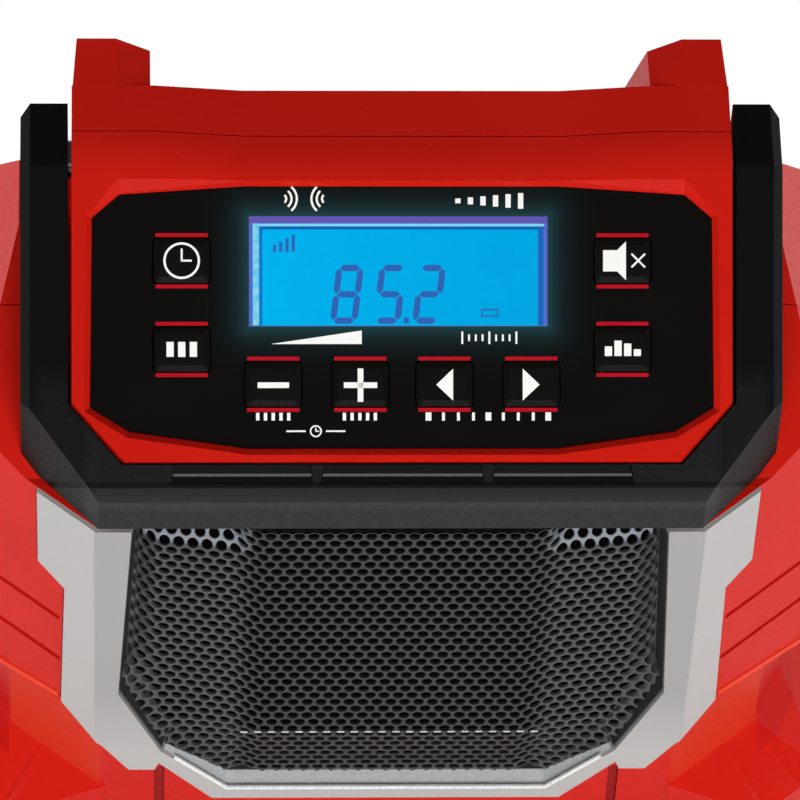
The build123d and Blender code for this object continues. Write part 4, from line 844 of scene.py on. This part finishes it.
# ---------------------------------------------------------------------------
# Control panel: a satin black fascia with a clear window. Printed red bars stand above and below each key,
# and a painted glow spreads over the fascia round the display.
# ---------------------------------------------------------------------------
window_mid = (-0.8, 37.65)
window_half = (30.9, 11.35)

fascia, tree, place = blank("fascia")
from_mid = [
    maths(tree, "ABSOLUTE", maths(tree, "SUBTRACT", axis, mid))
    for axis, mid in zip(panel_axes(tree), window_mid)
]
beyond = [
    maths(tree, "MAXIMUM", maths(tree, "SUBTRACT", far, half), 0.0)
    for far, half in zip(from_mid, window_half)
]
away = maths(tree, "SQRT", maths(tree, "ADD", *(maths(tree, "MULTIPLY", off, off) for off in beyond)))
# Painted light: the fascia glows faintly round the display window, fading with the distance from its edge.
fall_off = -0.45  # per millimetre from the window's edge
glow = maths(tree, "POWER", 2.718, maths(tree, "MULTIPLY", away, fall_off))
skin(
    tree,
    blend(tree, noise(tree, place, 20.0, 3.0), lin("0d0c0b"), lin("110f0e")),
    0.5,
    noise(tree, place, 0.4, 2.0),
    0.004,
    Specular_IOR_Level=0.05,
    Emission_Color=lin("2c6068"),
    Emission_Strength=maths(tree, "MULTIPLY", glow, 0.42),
)
softened("control_panel", 0.25, "radio", fascia)


def prisms(name, shapes, low, thick, body, material):
    """Thin closed prisms on the panel: each shape is one outline, or two that form a ring."""
    data = bmesh.new()
    for loops in shapes:
        levels = [
            [[data.verts.new(at_panel(x, y, out)) for x, y in loop] for out in (low, low + thick)]
            for loop in loops
        ]
        for bottom, top in levels:
            wall_between(data, bottom, top)
        if len(levels) == 1:
            data.faces.new(list(reversed(levels[0][0])))
            data.faces.new(levels[0][1])
        else:
            for outer, inner in zip(*levels):
                wall_between(data, outer, inner)
    return piece(outward_mesh(data, name), name, body, material, smooth=False)


def bar(x, y, width, height, lean=0.0):
    """Rectangle about a centre, its top shifted by lean."""
    w, h = width / 2, height / 2
    return [[(x - w - lean, y - h), (x + w - lean, y - h), (x + w + lean, y + h), (x - w + lean, y + h)]]


def round_line(x, y, radius, stroke, start=0.0, end=360.0, steps=32):
    """Ring, or part of one, about a centre."""
    angles = [radians(start + (end - start) * step / steps) for step in range(steps + 1)]
    outer, inner = (
        [(x + reach * cos(a), y + reach * sin(a)) for a in angles]
        for reach in (radius + stroke / 2, radius - stroke / 2)
    )
    if end - start >= 360:
        return [outer[:-1], inner[:-1]]
    return [outer + list(reversed(inner))]


def stroke_between(x0, y0, x1, y1, width):
    """Straight line of a given width between two points."""
    run = Vector((x1 - x0, y1 - y0)).normalized() * width / 2
    near = [(x0 + run.y, y0 - run.x), (x1 + run.y, y1 - run.x)]
    return [near + [(x1 - run.y, y1 + run.x), (x0 - run.y, y0 + run.x)]]


def shifted(loops, x, y):
    """Shape moved across and up the panel."""
    return [[(x + dx, y + dy) for dx, dy in loop] for loop in loops]


def ink(name, colour, shade=None, unlit=None, specular=0.2, glow=0.12):
    """Printed ink with a slightly uneven film, or one plain colour where it isn't lit. Glow gives it a light
    of its own: painted light on the printed inks, the backlight showing through on the display's segments.
    """
    material, tree, place = blank(name)
    film = lin(unlit) if unlit else blend(tree, noise(tree, place, 1.5, 3.0), lin(colour), lin(shade))
    light = {"Emission_Color": lin(colour), "Emission_Strength": glow, "Specular_IOR_Level": specular}
    skin(tree, film, 0.5, noise(tree, place, 0.3, 2.0), 0.003, **light)
    return material


# ---------------------------------------------------------------------------
# Keys: eight moulded push keys with bevelled caps. White symbols are printed
# on the caps; red bars are printed on the fascia above and below each key.
# ---------------------------------------------------------------------------
key_plastic = plastic("key_plastic", "0f0e0d", "0b0b0a", 0.42, 0.5, 0.006, 0.2)
key_places = {
    "clock": (-45.6, 39.8),
    "preset": (-45.6, 21.5),
    "volume_down": (-26.7, 14.3),
    "volume_up": (-8.7, 14.3),
    "seek_down": (8.7, 14.3),
    "seek_up": (26.7, 14.3),
    "mode": (45.6, 21.5),
    "mute": (45.6, 39.8),
}
for key in key_places:
    softened("button_" + key, 0.18, "key_" + key, key_plastic)
symbols = {
    "clock": [
        round_line(0, 0, 3.55, 0.48, steps=48),
        stroke_between(0, -0.2, 0, 2.5, 0.42),
        stroke_between(-0.2, 0, 2.05, 0, 0.42),
    ],
    "preset": [bar(across, 0, 1.5, 3.1) for across in (-2.4, 0.0, 2.4)],
    "volume_down": [bar(0, -0.2, 6.5, 1.18)],
    "volume_up": [bar(0, -0.2, 6.9, 1.18), bar(0, -0.2, 1.18, 6.9)],
    "seek_down": [[[(-1.75, -0.1), (1.75, -3.4), (1.75, 3.2)]]],
    "seek_up": [[[(1.65, -0.1), (-1.85, 3.2), (-1.85, -3.4)]]],
    "mode": [
        bar(across, middle, 1.5, tall)
        for across, middle, tall in ((-3.0, -0.4, 2.0), (-1.0, 0.2, 3.2), (1.0, -0.1, 2.6), (3.0, -0.7, 1.4))
    ],
    "mute": [
        [[(-4.1, -2.2), (-1.2, -2.2), (0.65, -4.0), (0.65, 4.0), (-1.2, 2.2), (-4.1, 2.2)]],
        stroke_between(1.8, -1.35, 4.6, 1.45, 0.4),
        stroke_between(1.8, 1.45, 4.6, -1.35, 0.4),
    ],
}
# The white and red inks carry a faint painted glow.
white_ink = ink("white_ink", "efeeea", "e6e5e1")
red_ink = ink("red_ink", "b00f20", "a60d1c")
bars = []
for key, (x, y) in key_places.items():
    marks = [shifted(loops, x, y) for loops in symbols[key]]
    prisms("symbol_" + key, marks, 0.605, 0.03, "key_" + key, white_ink)
    bars += [bar(x, y + rise, 10.8, 0.8) for rise in (5.3, -5.3)]
prisms("key_bars", bars, -0.495, 0.04, "radio", red_ink)

# Printed guides round the display: waves, rising bars, a volume wedge, a
# tuning scale, ticks under the keys and a small clock, all in white ink.
guides = [
    round_line(across, 52.6, radius, 0.45, start, start + 100.0, 12)
    for across, start in ((-25.0, -50.0), (-15.6, 130.0))
    for radius in (1.0, 2.1, 3.2)
]
guides += [bar(11.5 + 2.6 * step, 52.2, 1.1, 1.0 + 0.45 * step) for step in range(6)]
guides.append([[(-27.2, 22.6), (-8.4, 22.6), (-8.4, 25.4)]])
guides += [bar(12.4 + 1.4 * step, 23.9, 0.4, 2.6 if step % 4 == 0 else 1.4) for step in range(9)]
guides += [bar(start + 1.6 * step, 7.6, 0.7, 1.6) for step in range(5) for start in (-29.9, -12.0)]
guides += [bar(5.4 + 3.1 * step, 7.6, 0.6 if step % 4 else 1.2, 1.7) for step in range(9)]
guides.append(round_line(-17.9, 4.6, 1.1, 0.3, steps=24))
guides.append(stroke_between(-17.9, 4.5, -17.9, 5.3, 0.25))
guides.append(stroke_between(-17.9, 4.6, -17.2, 4.6, 0.25))
guides += [bar(across, 4.6, 4.0, 0.35) for across in (-22.0, -13.8)]
prisms("panel_guides", guides, -0.495, 0.03, "radio", white_ink)

# ---------------------------------------------------------------------------
# Display: a backlit liquid crystal behind a clear window. Bands painted into its light stand for the lit edge
# of the light guide round it, and dark segments form a plain number.
# ---------------------------------------------------------------------------
lcd, tree, place = blank("lcd")
across, up = panel_axes(tree)
from_left = maths(tree, "SUBTRACT", across, window_mid[0] - window_half[0])
from_right = maths(tree, "SUBTRACT", window_mid[0] + window_half[0], across)
from_top = maths(tree, "SUBTRACT", window_mid[1] + window_half[1], up)
from_foot = maths(tree, "SUBTRACT", up, window_mid[1] - window_half[1])
shade = blend(tree, ramp(tree, across, -32.0, 20.0), lin("00b4f0"), lin("00a6e2"))
shade = blend(tree, ramp(tree, noise(tree, place, 7.0, 2.0), 0.35, 0.75, 0.0, 0.25), shade, lin("00b0ea"))
# Painted highlight: a pale streak with glints along the left edge of the lit face.
glint = ramp(tree, noise(tree, place, 1.6, 3.0), 0.45, 0.6)
streak = blend(tree, glint, lin("62c8ea"), lin("8fd8ee"))
for distance, start, end, colour in (
    (from_top, 2.0, 2.7, lin("0f5fb2")),
    (from_left, 2.1, 2.8, lin("1273c6")),
    (from_right, 0.7, 1.9, lin("2461bb")),
    (from_top, 1.5, 2.0, lin("86dcf6")),
    (from_left, 0.8, 2.1, streak),
    (from_right, -1.0, 0.6, lin("5a64c6")),
    (from_left, -1.0, 0.8, lin("4f66c6")),
    (from_top, -1.0, 1.45, lin("6456b2")),
    (from_foot, -1.0, 0.2, lin("3a86d0")),
):
    shade = blend(tree, within(tree, distance, start, end, 0.12), shade, colour)
skin(tree, lin("010305"), 0.35, Emission_Color=shade, Emission_Strength=1.0, Specular_IOR_Level=0.0)
finish_node(lcd, "display_module")

digit_half, digit_tall, digit_stroke, digit_lean = 2.2, 5.45, 1.35, 0.12


def segment(x0, y0, x1, y1):
    """Segment with pointed ends between two corners of a leaning digit."""
    start, end = Vector((x0, y0)), Vector((x1, y1))
    run = (end - start).normalized()
    start, end = start + run * 0.12, end - run * 0.12
    half = digit_stroke / 2
    side = Vector((-run.y, run.x)) * half
    points = [start, start + run * half + side, end - run * half + side, end]
    points += [end - run * half - side, start + run * half - side]
    return [[(point.x + digit_lean * point.y, point.y) for point in points]]


digit_corners = [(x, y) for y in (digit_tall, 0, -digit_tall) for x in (-digit_half, digit_half)]
segment_ends = {"a": (0, 1), "b": (1, 3), "c": (3, 5), "d": (4, 5), "e": (2, 4), "f": (0, 2), "g": (2, 3)}
segments = {
    label: segment(*digit_corners[first], *digit_corners[last])
    for label, (first, last) in segment_ends.items()
}
lit = [
    shifted(segments[label], x, 32.9)
    for x, shown in ((-11.4, "abcdefg"), (-2.5, "acdfg"), (5.6, "abdeg"))
    for label in shown
]
lit.append(bar(0.9, 27.5, 1.1, 1.2))
lit += [bar(-26.4 + 1.3 * step, 42.4 + 0.35 * step, 0.7, 1.4 + 0.7 * step) for step in range(4)]
lit.append([bar(18.2, 29.05, width, height)[0] for width, height in ((3.6, 1.7), (2.9, 1.0))])
segment_ink = ink("segment_ink", "2f64b4", unlit="010203", specular=0.0, glow=1.0)
prisms("lcd_segments", lit, -2.49, 0.03, "radio", segment_ink)

clear, tree, place = blank("clear_window")
skin(
    tree,
    lin("ffffff"),
    ramp(tree, noise(tree, place, 4.0, 2.0), 0.3, 0.7, 0.01, 0.03),
    noise(tree, place, 3.0, 1.0),
    0.0005,
    IOR=1.12,
    Transmission_Weight=1.0,
)
play = 0.15
pane = bar(*window_mid, *(2 * (half - play) for half in window_half))
window_piece = prisms("display_window_clear", [pane], -2.35, 1.65, "radio", clear)
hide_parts("display_window")

# ---------------------------------------------------------------------------
# Electronics: a silicone key mat, two green boards, a finned heat sink, and
# the ferrite rod aerial with its copper coil.
# ---------------------------------------------------------------------------
grey_silicone = plastic("grey_silicone", "5c5e62", "54565a", 0.6, 0.8, 0.01, 0.3)
finish_node(grey_silicone, "keypad_mat")

board_green, tree, place = blank("board_green")
tracks = put(tree, "ShaderNodeTexVoronoi", {"Vector": place, "Scale": 1000 / 3.0}, distance="MANHATTAN")
skin(
    tree,
    blend(tree, ramp(tree, tracks.outputs["Distance"], 0.25, 0.3), lin("0f5a2b"), lin("0a4520")),
    0.35,
    tracks.outputs["Distance"],
    0.02,
)
finish_node(board_green, "control_board", "main_board")
aluminium = metal("aluminium", "c9cbce", 0.32, 0.4, 0.004, (1, 1, 0.1))
finish_node(aluminium, "heat_sink")
copper, tree, place = blank("copper_wire")
windings = put(
    tree, "ShaderNodeTexWave", {"Vector": place, "Scale": 1000 / 3.1, "Distortion": 0.1}, bands_direction="X"
)
skin(
    tree,
    blend(tree, windings.outputs["Fac"], lin("7a3c1c"), lin("b8683a")),
    0.3,
    windings.outputs["Fac"],
    0.2,
    Metallic=1.0,
)
finish_node(copper, "antenna_coil")

# ---------------------------------------------------------------------------
# Battery bay: a moulded terminal block with brass strips, and the slide-in
# pack with its end cap and the sprung latch.
# ---------------------------------------------------------------------------
softened("battery_terminal_block", 0.4, "radio", black_plastic)
brass = metal("contact_brass", "c9a65a", 0.28, 0.3, 0.003, (1, 1, 0.1))
finish_node(brass, "contact_strips")
softened("battery_pack", 0.8, "battery", black_plastic)
softened("battery_cap", 0.8, "battery", red_plastic)
softened("battery_latch", 0.3, "latch", charcoal_plastic)

# ---------------------------------------------------------------------------
# Input socket: a moulded jack in the right-hand wall under a rubber flap.
# ---------------------------------------------------------------------------
finish_node(black_plastic, "aux_socket")
softened("aux_cover", 0.3, "socket_flap", pad_rubber)

# ---------------------------------------------------------------------------
# Camera: a long lens looking down square on to the control panel.
# ---------------------------------------------------------------------------
camera = hang("camera", bpy.data.cameras.new("camera"))
bpy.context.scene.camera = camera
height_turn, side_turn, roll = radians(54), radians(-4.08), radians(3.27)
stand_off, focal_length, picture_side = 1.427, 6897, 800  # metres, then two lengths in picture elements
target = Vector((-0.00044, -0.0465, 0.144))
toward = Vector((cos(height_turn) * sin(side_turn), -cos(height_turn) * cos(side_turn), sin(height_turn)))
level = (-toward).cross(Vector((0, 0, 1))).normalized()
above = level.cross(-toward).normalized()
right = level * cos(roll) + above * sin(roll)
top = above * cos(roll) - level * sin(roll)
place_at = target + toward * stand_off
camera.matrix_world = Matrix.LocRotScale(place_at, Matrix((right, top, toward)).transposed(), None)
camera.data.sensor_width = 36
camera.data.lens = camera.data.sensor_width * focal_length / picture_side
camera.data.clip_start = 0.05
camera.data.clip_end = 20
bpy.context.scene.view_settings.view_transform = "Standard"

# ---------------------------------------------------------------------------
# Studio: a white floor, one large soft box in front and one at each side, a
# thin strip that puts a glint on the edges, and an even pale surround.
# ---------------------------------------------------------------------------
floor_mesh = bpy.data.meshes.new("floor")
floor_mesh.from_pydata([(-3, -3, 0), (3, -3, 0), (3, 3, 0), (-3, 3, 0)], [], [(0, 1, 2, 3)])
floor = hang("floor", floor_mesh)
floor_paint, tree, place = blank("floor_paint")
rays = put(tree, "ShaderNodeLightPath")
seen = maths(tree, "MAXIMUM", rays.outputs["Is Camera Ray"], rays.outputs["Is Transmission Ray"])
floor_tint = blend(tree, noise(tree, place, 90.0, 2.0), lin("dedede"), lin("e4e4e4"))
matt = put(tree, "ShaderNodeBsdfPrincipled", {"Base Color": floor_tint, "Roughness": 0.8})
white = put(tree, "ShaderNodeEmission", {"Color": lin("ffffff"), "Strength": 1.0})
mixed = put(tree, "ShaderNodeMixShader", {0: seen, 1: matt.outputs[0], 2: white.outputs[0]})
close(tree, mixed.outputs[0])
floor_mesh.materials.append(floor_paint)

world = bpy.data.worlds.new("surround")
bpy.context.scene.world = world
world.use_nodes = True
surround = world.node_tree.nodes["Background"].inputs
surround["Color"].default_value = lin("e8e8e8")
surround["Strength"].default_value = 0.12


def soft_light(name, spot, width, height, watts, glossy=True, diffuse=True):
    """Rectangular soft box aimed at the middle of the radio."""
    light = bpy.data.lights.new(name, "AREA")
    light.shape = "RECTANGLE"
    light.size, light.size_y, light.energy = width, height, watts
    made = hang(name, light)
    made.visible_glossy = glossy
    made.visible_diffuse = diffuse
    made.location = spot
    made.rotation_mode = "QUATERNION"
    made.rotation_quaternion = (Vector((0, 0, 0.1)) - Vector(spot)).to_track_quat("-Z", "Y")


soft_light("front_box", (0.1, -1.5, 0.64), 1.1, 0.8, 26, glossy=False)
soft_light("left_box", (-1.3, 0.35, 0.45), 0.8, 0.8, 15, glossy=False)
soft_light("right_box", (1.3, 0.35, 0.45), 0.8, 0.8, 13, glossy=False)
soft_light("glint_strip", (0, -1.5, 0.72), 1.6, 0.12, 2.5, diffuse=False)
